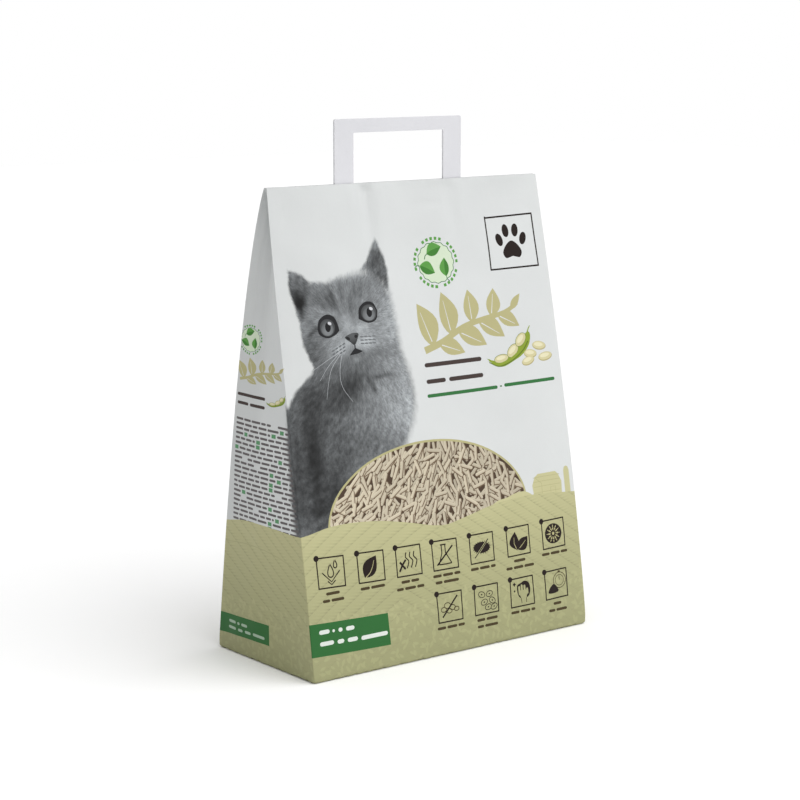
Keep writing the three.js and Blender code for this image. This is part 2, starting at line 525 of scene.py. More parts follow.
# The part of the front that the kitten's ink covers, with bare paper round the kitten.
KITTEN_PLACE = looped((
    (-190, 120), (-190, 262), (-170, 280), (-152, 296), (-160, 330), (-168, 372), (-160, 398),
    (-140, 390), (-112, 382), (-80, 390), (-56, 418), (-38, 412), (-28, 380), (-22, 330),
    (-14, 290), (-8, 250), (-18, 214), (-60, 160), (-110, 120),
))
FUR_BASE = 132
FUR_DEPTH = 1.22
FUR_SHADE = 48
BODY_TUFTS = 10
EAR_TUFTS = 12
# Light and shade of the fur: centre, radii, turn, tone from 0 to 255, strength.
FUR_TONES = (
    ((-95, 350), (60, 40), 0, 147, 0.9),
    ((-90, 378), (40, 7), 4, 178, 0.75),
    ((-45, 325), (16, 34), 0, 176, 0.85),
    ((-36, 344), (8, 26), 0, 190, 0.6),
    ((-138, 308), (12, 24), -8, 108, 0.85),
    ((-144, 330), (8, 12), 0, 150, 0.7),
    ((-122, 314), (14, 10), 0, 138, 0.6),
    ((-104, 308), (13, 8), 20, 196, 0.85),
    ((-75, 312), (14, 9), 0, 204, 0.9),
    ((-77, 326), (11, 5), 0, 196, 0.8),
    ((-110, 320), (9, 4), 25, 180, 0.7),
    ((-93, 331), (7, 12), -10, 186, 0.8),
    ((-128, 336), (4, 10), 30, 160, 0.5),
    ((-134, 326), (7, 1.8), 32, 84, 0.7),
    ((-92, 348), (4, 14), 8, 136, 0.6),
    ((-107, 355), (3, 11), 24, 92, 0.9),
    ((-113, 354), (2.5, 8), 34, 86, 0.8),
    ((-121, 352), (4, 12), 38, 110, 0.8),
    ((-82, 357), (3.5, 11), -6, 112, 0.8),
    ((-97, 362), (3, 10), 6, 116, 0.7),
    ((-74, 360), (3, 9), -14, 120, 0.7),
    ((-88, 346), (3, 9), 0, 108, 0.6),
    ((-122, 344), (16, 2.6), -14, 172, 0.6),
    ((-70, 352), (12, 2.4), 4, 168, 0.5),
    ((-132, 358), (12, 10), -30, 124, 0.5),
    ((-70, 352), (16, 4), 4, 136, 0.6),
    ((-50, 356), (12, 8), 0, 150, 0.6),
    ((-88, 297), (13, 7), 0, 120, 0.8),
    ((-88, 296), (7, 3), 0, 158, 0.8),
    ((-112, 292), (16, 7), 12, 126, 0.8),
    ((-60, 300), (20, 6), 6, 132, 0.7),
    ((-40, 303), (10, 5), 10, 142, 0.6),
    ((-50, 288), (20, 8), 0, 164, 0.7),
    ((-36, 270), (10, 30), 0, 172, 0.7),
    ((-92, 284), (26, 7), 6, 118, 0.7),
    ((-124, 280), (18, 8), 20, 116, 0.7),
    ((-107, 268), (22, 12), 10, 76, 0.9),
    ((-110, 254), (18, 8), 8, 88, 0.7),
    ((-96, 273), (10, 8), 30, 72, 0.6),
    ((-116, 258), (12, 8), 0, 88, 0.6),
    ((-60, 262), (20, 14), 0, 168, 0.8),
    ((-76, 242), (24, 18), 0, 142, 0.8),
    ((-46, 238), (18, 22), 0, 178, 0.85),
    ((-62, 226), (16, 9), -20, 160, 0.6),
    ((-32, 244), (7, 30), 0, 188, 0.8),
    ((-73, 270), (3, 11), 24, 92, 0.8),
    ((-62, 278), (15, 2.2), 3, 104, 0.75),
    ((-88, 277), (3, 8), 30, 96, 0.6),
    ((-92, 214), (28, 12), 10, 116, 0.7),
    ((-62, 210), (20, 8), 14, 138, 0.6),
    ((-118, 216), (16, 30), 0, 104, 0.8),
    ((-134, 250), (12, 26), 0, 96, 0.7),
    ((-150, 206), (13, 66), 0, 66, 0.95),
    ((-130, 176), (14, 22), -14, 76, 0.85),
    ((-146, 262), (12, 12), 30, 78, 0.7),
    ((-168, 200), (8, 60), 0, 84, 0.8),
    ((-164, 262), (14, 9), 40, 112, 0.7),
    ((-146, 284), (12, 5), 34, 132, 0.7),
    ((-176, 170), (6, 30), 0, 92, 0.7),
    ((-158, 148), (22, 4.5), 4, 112, 0.85),
    ((-150, 160), (16, 7), 4, 66, 0.6),
)
LEFT_EAR_TONES = (
    ((-144, 366), (30, 24), 0, 120, 1.0),
    ((-152, 382), (7, 5), 0, 150, 0.7),
    ((-155, 364), (3, 18), 6, 84, 0.7),
    ((-138, 372), (10, 5), -28, 128, 0.7),
    ((-136, 363), (8, 5), -20, 98, 0.5),
    ((-145, 354), (7, 9), 24, 52, 1.0),
    ((-146, 351), (5, 9), 14, 44, 0.9),
    ((-143, 342), (3, 6), 10, 84, 0.8),
    ((-149, 343), (2.5, 6), 8, 150, 0.7),
)
RIGHT_EAR_TONES = (
    ((-54, 380), (30, 30), 0, 112, 1.0),
    ((-49, 403), (6, 8), 0, 150, 0.8),
    ((-66, 382), (5, 8), -40, 150, 0.7),
    ((-59, 392), (2.5, 12), -32, 136, 0.7),
    ((-48, 388), (7, 9), 0, 100, 0.7),
    ((-46, 364), (7, 9), 0, 92, 0.9),
    ((-42, 375), (3, 16), 0, 120, 0.7),
    ((-62, 372), (8, 5), 20, 130, 0.7),
    ((-52, 379), (9, 3), 10, 128, 0.5),
)
EARS = ((LEFT_EAR, LEFT_EAR_TONES, LEFT_EAR_ROOT), (RIGHT_EAR, RIGHT_EAR_TONES, RIGHT_EAR_ROOT))
NOSE_BRIDGE = (-92.0, 326.0)
FUR_FAN = 55.0


def layered(x, z, start, layers):
    """Tones built up from soft oval touches over a starting tone."""
    tone = start + 0 * x
    for centre, radii, turn, value, strength in layers:
        share = strength * bump_at(x, z, centre, radii, turn)
        tone = tone + share * (value - tone)
    return tone


def inside_distance(x, z, outline):
    """Distance to an outline, positive inside it."""
    start = outline
    end = np.roll(outline, -1, axis=0)
    along = end - start
    px, pz = x[:, None] - start[:, 0], z[:, None] - start[:, 1]
    reach = np.clip((px * along[:, 0] + pz * along[:, 1]) / (along ** 2).sum(1), 0, 1)
    gap = np.hypot(px - reach * along[:, 0], pz - reach * along[:, 1]).min(1)
    above = (start[:, 1] > z[:, None]) != (end[:, 1] > z[:, None])
    rise = np.where(along[:, 1] == 0, 1e-9, along[:, 1])
    crossing = px < along[:, 0] * pz / rise
    inside = (above & crossing).sum(1) % 2 == 1
    return np.where(inside, gap, -gap)


def ramp(value, low, high):
    """Smooth step from 0 at low to 1 at high."""
    t = np.clip((value - low) / (high - low), 0, 1)
    return t * t * (3 - 2 * t)


def fur_lie(x, z):
    """The lie of the fur, which grows away from the nose: its heading as a pair, and its reach."""
    dx, dz = x - NOSE_BRIDGE[0], z - NOSE_BRIDGE[1]
    reach = np.hypot(dx, dz) + 1e-6
    return FUR_FAN * dx / reach, FUR_FAN * dz / reach, reach


def streaks(x, z):
    """Tufts of hair, of about -1 to 1, longest along the fur."""
    level, rise, reach = fur_lie(x, z)
    fine = ripple(level + 0.4 * reach, rise, 4.2, 21, 24)
    tufts = ripple(x, z, 9.0, 22, 24)
    return 0.6 * fine + 0.6 * tufts


def kitten_cover(x, z):
    """How much of the paper the kitten's body covers, soft at its furry edge."""
    softness = 2.4 + 4.6 * ramp(x, -120, -40) + 2.2 * ramp(z, 345, 372) * ramp(x, -130, -110)
    edge = inside_distance(x, z, KITTEN_BODY) + 0.9 * streaks(x, z)
    return ramp(edge, -0.5 * softness, softness)


def fur_ink(x, z, tones, tufts):
    """Grey inks of the fur, from a table of its tones and how strongly its tufts show."""
    return seen_grey(layered(x, z, FUR_BASE, tones) * FUR_DEPTH - FUR_SHADE + tufts)


def ear_cover(x, z, outline, root, hair):
    """How much of what is behind it an ear covers: it fades out at its root."""
    edge = inside_distance(x, z, outline) + 0.5 * hair
    (x0, z0), (x1, z1) = root
    above_root = ((x - x0) * (z1 - z0) - (z - z0) * (x1 - x0)) / math.hypot(x1 - x0, z1 - z0)
    return ramp(edge, -1.2, 2.2) * ramp(above_root + 2 * hair, -1, 9)


def kitten_ink(s, z):
    """Ink of the kitten and of the paper just round it."""
    x = front_x(s, z)
    hair = streaks(x, z)
    body = fur_ink(x, z, FUR_TONES, BODY_TUFTS * hair)
    # The paper round the kitten keeps the bare paper's painted shade.
    colour = blend(paper_ink_with_painted_shade(s, z), body, kitten_cover(x, z))
    for outline, tones, root in EARS:
        ear = fur_ink(x, z, tones, EAR_TUFTS * hair)
        colour = blend(colour, ear, ear_cover(x, z, outline, root, hair))
    return colour


def kitten_fur(s, z):
    """Lie of the fur and how strongly its hairs show, for the paper's material."""
    x = front_x(s, z)
    ears = [ramp(inside_distance(x, z, outline), -1, 1) for outline, _, _ in EARS]
    return np.stack([*fur_lie(x, z), np.max([kitten_cover(x, z), *ears], axis=0)], 1)


def glow(cx, cz, radius, inner, outer):
    """Grey ink that changes from the inner tone at a centre to the outer tone at a radius."""
    def ink(s, z):
        x = front_x(s, z)
        share = np.clip(np.hypot(x - cx, z - cz) / radius, 0, 1)
        return seen_grey(inner + (outer - inner) * share ** 2)
    return ink


# For each eye: its middle, its radii, and its lids as an upper and a lower run.
EYES = (
    (-117.4, 328.6, 8.8, 8.2,
     ((-129, 328), (-126, 336.5), (-117, 341), (-109, 338.5), (-105.5, 332), (-104, 325)),
     ((-104, 325), (-107, 322.5), (-112, 320), (-119, 318.8), (-127, 322.5), (-129, 328))),
    (-67.2, 338.8, 9.2, 8.0,
     ((-80, 334), (-78, 344), (-70, 349.5), (-61, 348), (-56.5, 340)),
     ((-56.5, 340), (-58.5, 333), (-64, 329.8), (-71, 329.8), (-80, 334))),
)


def print_eye(front, x, z, rx, rz, upper_lid, lower_lid):
    """One eye: a dark rim, a grey iris that is lighter below, a pupil and its highlight."""
    front.fill(joined(upper_lid, lower_lid), EYE_RIM)
    front.fill(oval(x, z, rx, rz), glow(x, z, rx, 104, 62))
    front.fill(oval(x - 0.2, z - 1.4, rx * 0.8, rz * 0.74), glow(x, z - 3.5, rx, 134, 88))
    front.fill(oval(x + 0.6, z + 0.4, 3.2, 4.5), PUPIL)
    front.fill(oval(x + 3.0, z + 3.8, 2.2, 1.5, -24), EYE_SPARK)


def print_muzzle(front):
    """The nose, the nostrils, the open mouth and the rows of spots that the whiskers grow from."""
    nose = looped((
        (-98.5, 317.5), (-94.5, 320), (-88.5, 321.5), (-82.5, 320.5), (-84, 315.5), (-88, 310),
        (-92, 312.5),
    ))
    front.fill(nose, glow(-90, 319.5, 9, 92, 44))
    front.fill(oval(-95, 316.6, 2.4, 1.4, -24), NOSTRIL_LEFT)
    front.fill(oval(-85.6, 318, 1.8, 1.5), NOSTRIL_RIGHT)
    front.line(((-88, 311), (-88, 308.6), (-88, 306)), 1.5, MUZZLE_LINE)
    mouth = joined(
        ((-95.5, 300.6), (-91.5, 304.4), (-88, 307.4)),
        ((-88, 307.4), (-84, 305.4), (-79.5, 303.6)),
        ((-79.5, 303.6), (-84.5, 301.8), (-90, 301.2), (-95.5, 300.6)),
    )
    front.fill(mouth, MOUTH)
    for row in range(3):
        for spot in range(4):
            level, drop_by = spot * 4.2, row * 3.2
            left = (-101 - level, 312 - drop_by - level * 0.42)
            right = (-79 + level * 1.1, 317 - drop_by - level * 0.04)
            front.fill(oval(*left, 2.0, 0.75, 24), SPOT_LEFT)
            front.fill(oval(*right, 2.3, 0.75, -4), SPOT_RIGHT)


WHISKERS = (
    ((-104, 306), (-120, 299), (-140, 290)),
    ((-106, 303), (-118, 290), (-124, 276), (-128, 262)),
    ((-105, 301), (-109, 286), (-108, 272), (-98, 257)),
    ((-107, 304), (-122, 292), (-133, 280)),
)


def print_kitten(front):
    """The kitten as shapes: soft fur, then eyes, nose, mouth and pale whiskers."""
    front.fill(KITTEN_PLACE, kitten_ink, fur=kitten_fur)
    for eye in EYES:
        print_eye(front, *eye)
    print_muzzle(front)
    for whisker in WHISKERS:
        front.line(flowing(whisker, 5), 0.6, WHISKER, 0.3)


# ---- Print: pellets ------------------------------------------------------------------------

PELLETS_CENTRE = (-18.0, 138.0)
PELLETS_RADII = (122.0, 71.5)
PELLET_SPACING = 5.0
PELLET_WIDTH = 4.1
PELLET_STRAY = 3.0
PELLETS_BORDER = 2.2


def across_ink(centre, side, width, low, high):
    """Ink that changes across a pellet, from one long edge to the other."""
    def ink(s, z):
        x = front_x(s, z)
        share = ((x - centre[0]) * side[0] + (z - centre[1]) * side[1]) / width + 0.5
        return blend(low, high, share)
    return ink


def print_pellets(front):
    """A heap of litter pellets in an oval: rods laid over each other, each lit from above."""
    rng = np.random.default_rng(11)
    cx, cz = PELLETS_CENTRE
    rx, rz = PELLETS_RADII
    front.fill(oval(cx, cz, rx + PELLETS_BORDER, rz + PELLETS_BORDER, count=72), KHAKI)
    front.fill(oval(cx, cz, rx, rz, count=72), PELLET_GAP)
    places = []
    for x in np.arange(cx - rx, cx + rx, PELLET_SPACING * 1.2):
        for z in np.arange(cz - 14, cz + rz, PELLET_SPACING):
            places.append((x, z) + rng.uniform(-PELLET_STRAY, PELLET_STRAY, 2))
    rng.shuffle(places)
    for order, (x, z) in enumerate(places):
        rightward = (x - cx) / rx
        mean = 68 + 30 * rightward + 40 * max(0.0, rightward)
        spread = 24 + 34 * max(0.0, rightward)
        degrees = rng.normal(mean, spread) if rng.random() < 0.85 else rng.uniform(0, 180)
        length = rng.uniform(12, 19)
        above_others = 0.78 + 0.22 * order / len(places)
        brightness = rng.uniform(0.86, 1.0) * above_others * (0.97 - 0.08 * rightward)
        inside = np.hypot((x - cx) / rx, (z - cz) / rz) < 0.99
        if inside and z > hill_height(x) - length / 2:
            print_pellet(front, np.array((x, z)), degrees, length, brightness)


def kept_in_oval(outline):
    """The part of a rod's outline that is inside the pellets' oval, cut along the oval's tangent."""
    offset = (outline - PELLETS_CENTRE) / PELLETS_RADII
    outwards = offset.mean(0) / np.linalg.norm(offset.mean(0))
    over = offset @ outwards - 1
    kept = []
    for a, b, over_a, over_b in zip(outline, np.roll(outline, -1, axis=0), over, np.roll(over, -1)):
        if over_a < 0:
            kept.append(a)
        if (over_a < 0) != (over_b < 0):
            kept.append(a + (b - a) * over_a / (over_a - over_b))
    return np.array(kept)


def print_pellet(front, middle, degrees, length, brightness):
    """One rod: a dark edge below and a body that is lightest along its upper side."""
    side = turned(((0, 1),), degrees)[0]
    side = side if side[1] - 0.6 * side[0] > 0 else -side
    edge = turned(pill(-length / 2, length / 2, 0, PELLET_WIDTH), degrees)
    body = turned(pill(-length / 2 + 0.2, length / 2 - 0.2, 0, PELLET_WIDTH * 0.74), degrees)
    front.fill(kept_in_oval(edge + middle), PELLET_DARK * brightness)
    low, high = PELLET_BODY * 0.82 * brightness, PELLET_LIGHT * brightness
    ink = across_ink(middle, side, PELLET_WIDTH, low, high)
    front.fill(kept_in_oval(body + middle + side * PELLET_WIDTH * 0.11), ink)


# ---- Print: hills --------------------------------------------------------------------------

# The tops of the hills, all the way round the sack.
HILL_LINE = flowing((
    (-602, 137), (-560, 141), (-500, 143), (-440, 136), (-380, 129), (-338, 133), (-300, 138),
    (-256, 139.5), (-215, 139), (-174, 138), (-140, 143.5), (-110, 144), (-80, 141.5), (-50, 136),
    (-8, 127.5), (20, 131), (50, 137), (80, 140.5), (110, 141.5), (140, 140), (174, 137),
    (215, 136), (256, 140), (300, 142), (338, 137), (380, 133), (422, 137),
))
# How far shapes run on past the foot of the sheet.
OVERPRINT = 5.0
# The nearer hill's left edge, from its top down past the foot of the sack.
NEAR_HILL_START = -8
NEAR_HILL_EDGE = flowing((
    (NEAR_HILL_START, 127), (-28, 118), (-46, 104), (-58, 84), (-66, 60), (-70, 30),
    (-70, -OVERPRINT),
))
SIDE_HILL_LINE = flowing((
    (-334, 112), (-300, 115), (-256, 115.5), (-220, 112), (-190, 106), (-176, 103),
))
BARN_SHAPES = (
    ((115, 150), (119, 158), (124, 161), (148, 161), (152, 158), (156, 150), (155, 132), (117, 132)),
    ((160, 132), (160, 160), (161.5, 163.5), (164, 164.5), (166.5, 163.5), (168, 160), (168, 132)),
)
BUSHES = looped((
    (58, 134), (66, 141), (80, 143), (92, 146), (104, 146), (114, 141), (118, 134),
))
ROW_SLOPE = math.radians(34)
ROW_SPACING = 10.5
ROW_CURVE = 0.0007
STROKE_SLOPE = 0.14
LEAF_PITCH = 7.2
LEAF_MARGIN = 16


def hill_height(s):
    """Height of the hills' top line."""
    return np.interp(s, HILL_LINE[:, 0], HILL_LINE[:, 1])


def hill_ink(s, z):
    """Olive, darker towards the foot of the sack."""
    return blend(HILL_FOOT, HILL_TOP, np.clip(z / 140, 0, 1) ** 1.3)


def furrow_strength(z):
    """How strongly the furrows show: they fade towards the foot of the sack."""
    return 0.25 + 0.75 * ramp(z, 30, 66)


def furrows(s, z):
    """Row number, place along the short strokes, and how strongly the furrows show."""
    from_fold = np.abs(s - np.where(s < 0, -HALF_WIDTH, HALF_WIDTH))
    across = z * math.cos(ROW_SLOPE) - from_fold * math.sin(ROW_SLOPE) + ROW_CURVE * from_fold ** 2
    strokes = z + STROKE_SLOPE * from_fold
    return np.stack([across / ROW_SPACING, strokes, furrow_strength(z)], 1)


def near_furrows(s, z):
    """The nearer hill's furrows, which lean the other way."""
    across = z * math.cos(ROW_SLOPE) + s * math.sin(ROW_SLOPE) * np.where(s > HALF_WIDTH, -1, 1)
    strokes = z - STROKE_SLOPE * s
    return np.stack([across / ROW_SPACING + 0.4, strokes, furrow_strength(z)], 1)


def print_barn(front):
    """A barn with a silo on the far slope, with its boards, and bushes beside it."""
    for shape in BARN_SHAPES:
        front.fill(shape, BARN)
    for level in (136, 142, 148, 153, 157.5):
        front.line(((117, level), (130, level + 0.3), (154, level)), 0.5, BARN_LINE)
    front.line(((119, 158), (128, 151), (128, 134)), 0.6, BARN_LINE)
    front.line(((140, 134), (140, 146), (147, 146), (147, 134)), 0.6, BARN_LINE)
    front.fill(BUSHES, BARN)


def print_hills(press, front):
    """The band of hills round the foot of the sack."""
    print_barn(front)
    foot = [(SHEET_END, -OVERPRINT), (SHEET_START, -OVERPRINT)]
    press.lay(np.vstack([HILL_LINE, foot]), hill_ink, rows=furrows)
    near_top = HILL_LINE[(HILL_LINE[:, 0] > NEAR_HILL_START) & (HILL_LINE[:, 0] < SHEET_END)]
    end = [(SHEET_END, hill_height(SHEET_END)), (SHEET_END, -OVERPRINT)]
    press.lay(np.vstack([NEAR_HILL_EDGE[::-1], near_top, end]), hill_ink, rows=near_furrows)
    print_leaf_scatter(press)
    press.lay(ribbon(SIDE_HILL_LINE, 0.7), hill_shade)


def print_leaf_scatter(press):
    """Small pale leaves, scattered all round the foot of the sack."""
    rng = np.random.default_rng(8)
    for s in np.arange(SHEET_START + LEAF_MARGIN, SHEET_END - LEAF_MARGIN, LEAF_PITCH):
        for z in np.arange(5, 56, LEAF_PITCH):
            place = np.array((s, z)) + rng.uniform(-2.5, 2.5, 2)
            tip = place + turned(((rng.uniform(6, 9), 0),), rng.uniform(0, 360))[0]
            if tip[1] > 1:
                press.lay(leaf(place, tip, 0.42, 0.06, steps=5), hill_light)


def hill_light(s, z):
    """A slightly lighter olive, for leaves at the foot of the hills."""
    return hill_ink(s, z) * 1.12


def hill_shade(s, z):
    """A slightly darker olive, for lines on the hills."""
    return hill_ink(s, z) * 0.86


# ---- Print: icons, label and generic marks ---------------------------------------------------

ICON_WIDTH, ICON_HEIGHT = 30.5, 28.5
ICON_LINE = 1.25
FRAME_LINE = 1.4
UPPER_ICONS = (-144, -98, -52.5, -7, 40, 89, 137.5)
LOWER_ICONS = (-6, 41.5, 89, 136)
UPPER_LEVEL, LOWER_LEVEL = 98.2, 46.6
PRINT_SAG = 8e-5
SAG_CENTRE = 60


def settled(x):
    """The lower print bends up a little towards the left fold."""
    return PRINT_SAG * (x - SAG_CENTRE) ** 2


def drop(x, z, width, height):
    """Outline of a falling drop, as a closed line."""
    t = np.linspace(0, 2 * np.pi, 17)
    return np.stack([x + width / 2 * np.sin(t) * np.sin(t / 2) ** 1.2, z + height / 2 * np.cos(t)], 1)


def icon_drops(icon):
    """Two drops over a folded sheet."""
    for line in (drop(-0.5, 1.5, 9, 12.5), drop(5.4, 7.2, 5.4, 7.6),
                 ((-10, 0.5), (-0.2, -9), (10, 0.5)), ((-4.5, -8), (-0.2, -11.6), (4.5, -8))):
        icon.line(line, ICON_LINE, LINE_BROWN)


def icon_seed(icon):
    """A seed, pointed at both ends, with a vein."""
    icon.fill(leaf((-8.5, -9.5), (6.5, 10), 0.66), BROWN)
    icon.line(flowing(((-7.5, -9.5), (-2, -5.5), (1.5, 0), (3.5, 5.5))), 0.9, KHAKI, 0.5)


def icon_vapour(icon):
    """A cross beside three rising wisps."""
    icon.line(((-12, -9), (-8, -3), (-3.5, 1.5)), 2.2, BROWN)
    icon.line(((-11, 0), (-7.5, -4), (-4.5, -7.5)), 2.2, BROWN)
    for x in (-1.5, 3.5, 8.5):
        wave = flowing(((x - 1, 8.5), (x - 2, 4), (x + 1.5, 0), (x + 0.5, -4), (x - 1, -7)))
        icon.line(wave, 1.3, LINE_BROWN)


def icon_flask(icon):
    """A flask, struck through."""
    icon.line(((-5, 10), (-1.5, 10), (2, 10)), 1.4, LINE_BROWN)
    for line in (((-3.6, 10), (-3.6, 2), (-8, -9)), ((0.8, 10), (0.8, 2), (7.5, -9)),
                 ((-8, -9), (0, -9.2), (7.5, -9))):
        icon.line(line, ICON_LINE, LINE_BROWN)
    icon.line(((-10.5, -9.5), (0, -0.5), (10, 8)), 1.7, BROWN)


def icon_germ(icon):
    """A hairy germ, struck through."""
    icon.fill(oval(0, 0.5, 10.5, 5.6, -4), BROWN)
    spikes = 22
    for spike in range(spikes):
        angle = spike * 2 * math.pi / spikes
        inner = np.array((9 * math.cos(angle), 0.5 + 4.4 * math.sin(angle)))
        outer = np.array((11.6 * math.cos(angle), 0.5 + 6.6 * math.sin(angle)))
        icon.line((inner, (inner + outer) / 2, outer), 0.8, BROWN)
    icon.line(((-9, -8.4), (0.6, 0), (9, 8.6)), 2.2, hill_ink)
    icon.line(((-9.6, -9), (0, -0.5), (9, 8)), 1.1, BROWN)


def icon_leaves(icon):
    """Two broad leaves with veins."""
    icon.fill(leaf((-2, -9), (-4, 9.5), 0.68, 0.16), BROWN)
    icon.fill(leaf((-1, -9), (13, 3), 0.7, -0.04), BROWN)
    icon.line(((-3.4, -7.5), (-6, -2), (-5.6, 4)), 0.8, KHAKI, 0.4)
    icon.line(((1, -7.5), (6, -4), (10, -0.5)), 0.8, KHAKI, 0.4)


def icon_rosette(icon):
    """A round flower of twelve petals."""
    icon.fill(oval(0, 0, 11.6, 10.2), BROWN)
    for petal in range(12):
        angle = petal * math.pi / 6
        out = np.array((math.cos(angle), math.sin(angle)))
        icon.fill(leaf(out * 3, out * 9.6, 0.24), KHAKI)
    icon.ring(0, 0, 7.4, 6.4, 0.7, BROWN)
    icon.fill(oval(0, 0, 1.6), KHAKI)


def icon_dust(icon):
    """A cloud of dust, struck through."""
    for x, z, size in ((-8, -2, 3.4), (-3, 1.5, 4.0), (3, -1, 3.6), (8, -3, 3.0), (-1, -4, 3.2)):
        icon.ring(x, z, size, size * 0.7, 0.9, CAPTION_BROWN, count=12)
    icon.line(((-10, -9.5), (0, 0), (10, 10)), 1.7, BROWN)


def icon_beans(icon):
    """Six beans."""
    for x, z, turn in ((-6, 5.5, -20), (4, 5, 10), (-3, -2.5, 14), (7.5, -2, -30), (2, -8, 8),
                       (9.5, -8.5, 20)):
        icon.fill(oval(x, z, 4.6, 3.3, turn, 14), LINE_BROWN)
        icon.fill(oval(x, z, 3.8, 2.5, turn, 14), hill_ink)
        icon.fill(oval(x, z, 1.0, 0.8, turn, 8), LINE_BROWN)


def icon_hand(icon):
    """A hand in front of a cloth, with two sparkles."""
    cloth = looped(((-6.5, 1), (-6, 7), (-1, 9), (4, 10.5), (9.5, 8), (11, 1), (8.5, -5), (3.5, -7),
                    (-1, -7), (-5, -4)))
    icon.fill(cloth, BROWN)
    for x, top in ((-3.6, 6.2), (-0.2, 7.4), (3.4, 6.6), (6.8, 3.2)):
        icon.fill(pill(-top, 3.2, 0, 2.6)[:, ::-1] * (1, -1) + (x, 0), hill_ink)
    palm = looped(((-4.8, 0.5), (1, 1.5), (7.5, 0.5), (5.5, -5), (4, -10.5), (-0.5, -11), (-2, -6)))
    icon.fill(palm, hill_ink)
    icon.line(((-2, -6.5), (-1.6, -9), (-1.4, -11.5)), 0.7, LINE_BROWN)
    icon.line(((5, -6.5), (4.8, -9), (4.6, -11.5)), 0.7, LINE_BROWN)
    for x, z, size in ((-9.8, 8.6, 2.4), (-10, 1.8, 1.5)):
        icon.fill(leaf((x, z - size), (x, z + size), 0.4), BROWN)
        icon.fill(leaf((x - size, z), (x + size, z), 0.4), BROWN)


def icon_clump(icon):
    """A clump below a clock."""
    icon.ring(5, 3.4, 8.6, 8.0, 0.8, CAPTION_BROWN)
    icon.ring(5, 3.4, 5.8, 5.4, 0.6, CAPTION_BROWN)
    icon.line(((3.4, 12), (5, 12.4), (6.6, 12)), 1.6, CAPTION_BROWN)
    icon.line(((5, 3.4), (5, 5.4), (5, 8)), 0.7, CAPTION_BROWN)
    clump = looped(((-11.5, -8), (-10, -4), (-7.5, -1.5), (-3.5, 0.4), (0.5, -2.5), (3, -7), (0, -8.6),
                    (-6, -9)))
    icon.fill(clump, BROWN)


PICTURES = (icon_drops, icon_seed, icon_vapour, icon_flask, icon_germ, icon_leaves, icon_rosette,
            icon_dust, icon_beans, icon_hand, icon_clump)
# Captions are plain bars: for each icon, the width of each row.
CAPTIONS = ((16, 25), (29,), (22, 34), (34, 29), (33,), (16, 38), (36,),
            (35,), (27, 27), (32,), (11, 25))
CAPTION_BAR = 2.8
CAPTION_DROP = 5.4
CAPTION_PITCH = 6.6


def print_edge(stamp, start, end, past_end, width, ink):
    """One side of a frame, which runs a little past its ends to close the corners."""
    start, end = np.array(start), np.array(end)
    reach = (end - start) / np.linalg.norm(end - start) * past_end
    stamp.line((start - reach, (start + end) / 2, end + reach), width, ink)


def print_icons(front):
    """Eleven framed pictures on the hills, with a blank disc and caption bars each."""
    places = [(x, UPPER_LEVEL) for x in UPPER_ICONS] + [(x, LOWER_LEVEL) for x in LOWER_ICONS]
    w, h = ICON_WIDTH / 2, ICON_HEIGHT / 2
    for (x, level), picture, caption in zip(places, PICTURES, CAPTIONS):
        icon = front.at(x, level + settled(x))
        tilt = (settled(x + w) - settled(x - w)) / 2
        corners = ((-w, h - tilt), (w, h + tilt), (w, -h + tilt), (-w, -h - tilt))
        for start, end in zip(corners, (*corners[1:], corners[0])):
            print_edge(icon, start, end, 0.45, FRAME_LINE, LINE_BROWN)
        icon.fill(oval(*corners[0], 3.0, 2.9, count=18), BROWN)
        picture(icon)
        for row, width in enumerate(caption):
            middle = -h - CAPTION_DROP - CAPTION_PITCH * row
            print_words(icon, -width / 2, width / 2, middle, CAPTION_BAR, CAPTION_BROWN, 7 + row)


def print_words(stamp, start, end, z, height, ink, seed, mean=9.0, gap=1.4):
    """A row of plain bars of uneven length between two ends."""
    rng = np.random.default_rng(seed)
    x = start
    while x < end - height:
        length = min(rng.uniform(0.7, 1.5) * mean, end - x)
        if end - (x + length + gap) < height * 1.5:
            length = end - x
        stamp.fill(pill(x, x + length, z, height), ink)
        x += length + gap


# The size label: its top and foot on the front, its outline on the side, and its blank bars.
LABEL_TOP = (51.6, (-175, -144, -113, -82.5))
LABEL_FOOT = (20.4, (-81, -112, -144, -175))
SIDE_LABEL = ((-80, 37.5), (-60, 38.4), (-40, 39.2), (8, 41), (8, 20.5), (-40, 19), (-62, 18),
              (-82, 17))
LABEL_BARS = (
    (-164, -152, 44.5), (-149, -146, 44.5), (-142, -137, 44.5), (-133, -123, 44.5),
    (-164, -148, 33.5), (-144, -136, 33.5), (-132, -120, 33.5), (-116, -84, 33.5),
)
SIDE_LABEL_BARS = (
    (-62, -50, 31.4), (-47, -43, 31.4), (-40, -30, 31.5),
    (-63, -50, 25), (-46, -38, 25), (-34, -24, 25.4), (-20, 0, 26),
)


def print_label(front, side):
    """The green size label that starts on the side and runs on across the front."""
    corners = [(x, z + settled(x)) for z, places in (LABEL_TOP, LABEL_FOOT) for x in places]
    front.fill(corners, LABEL_GREEN)
    for x0, x1, level in LABEL_BARS:
        lift = settled((x0 + x1) / 2) - 1.2
        front.fill(pill(x0, x1, level + lift, 4.0), SOFT_WHITE)
    side.fill(SIDE_LABEL, LABEL_GREEN)
    for x0, x1, level in SIDE_LABEL_BARS:
        side.fill(pill(x0, x1, level, 2.8), LABEL_PALE)


SEAL_DASHES = 30
SEAL_DASHES_A_GROUP = 6
SEAL_SCALLOPS = 16
SEAL_LEAVES = ((-1, 12, 8), (-12, -6, -38), (11, -5, 78))


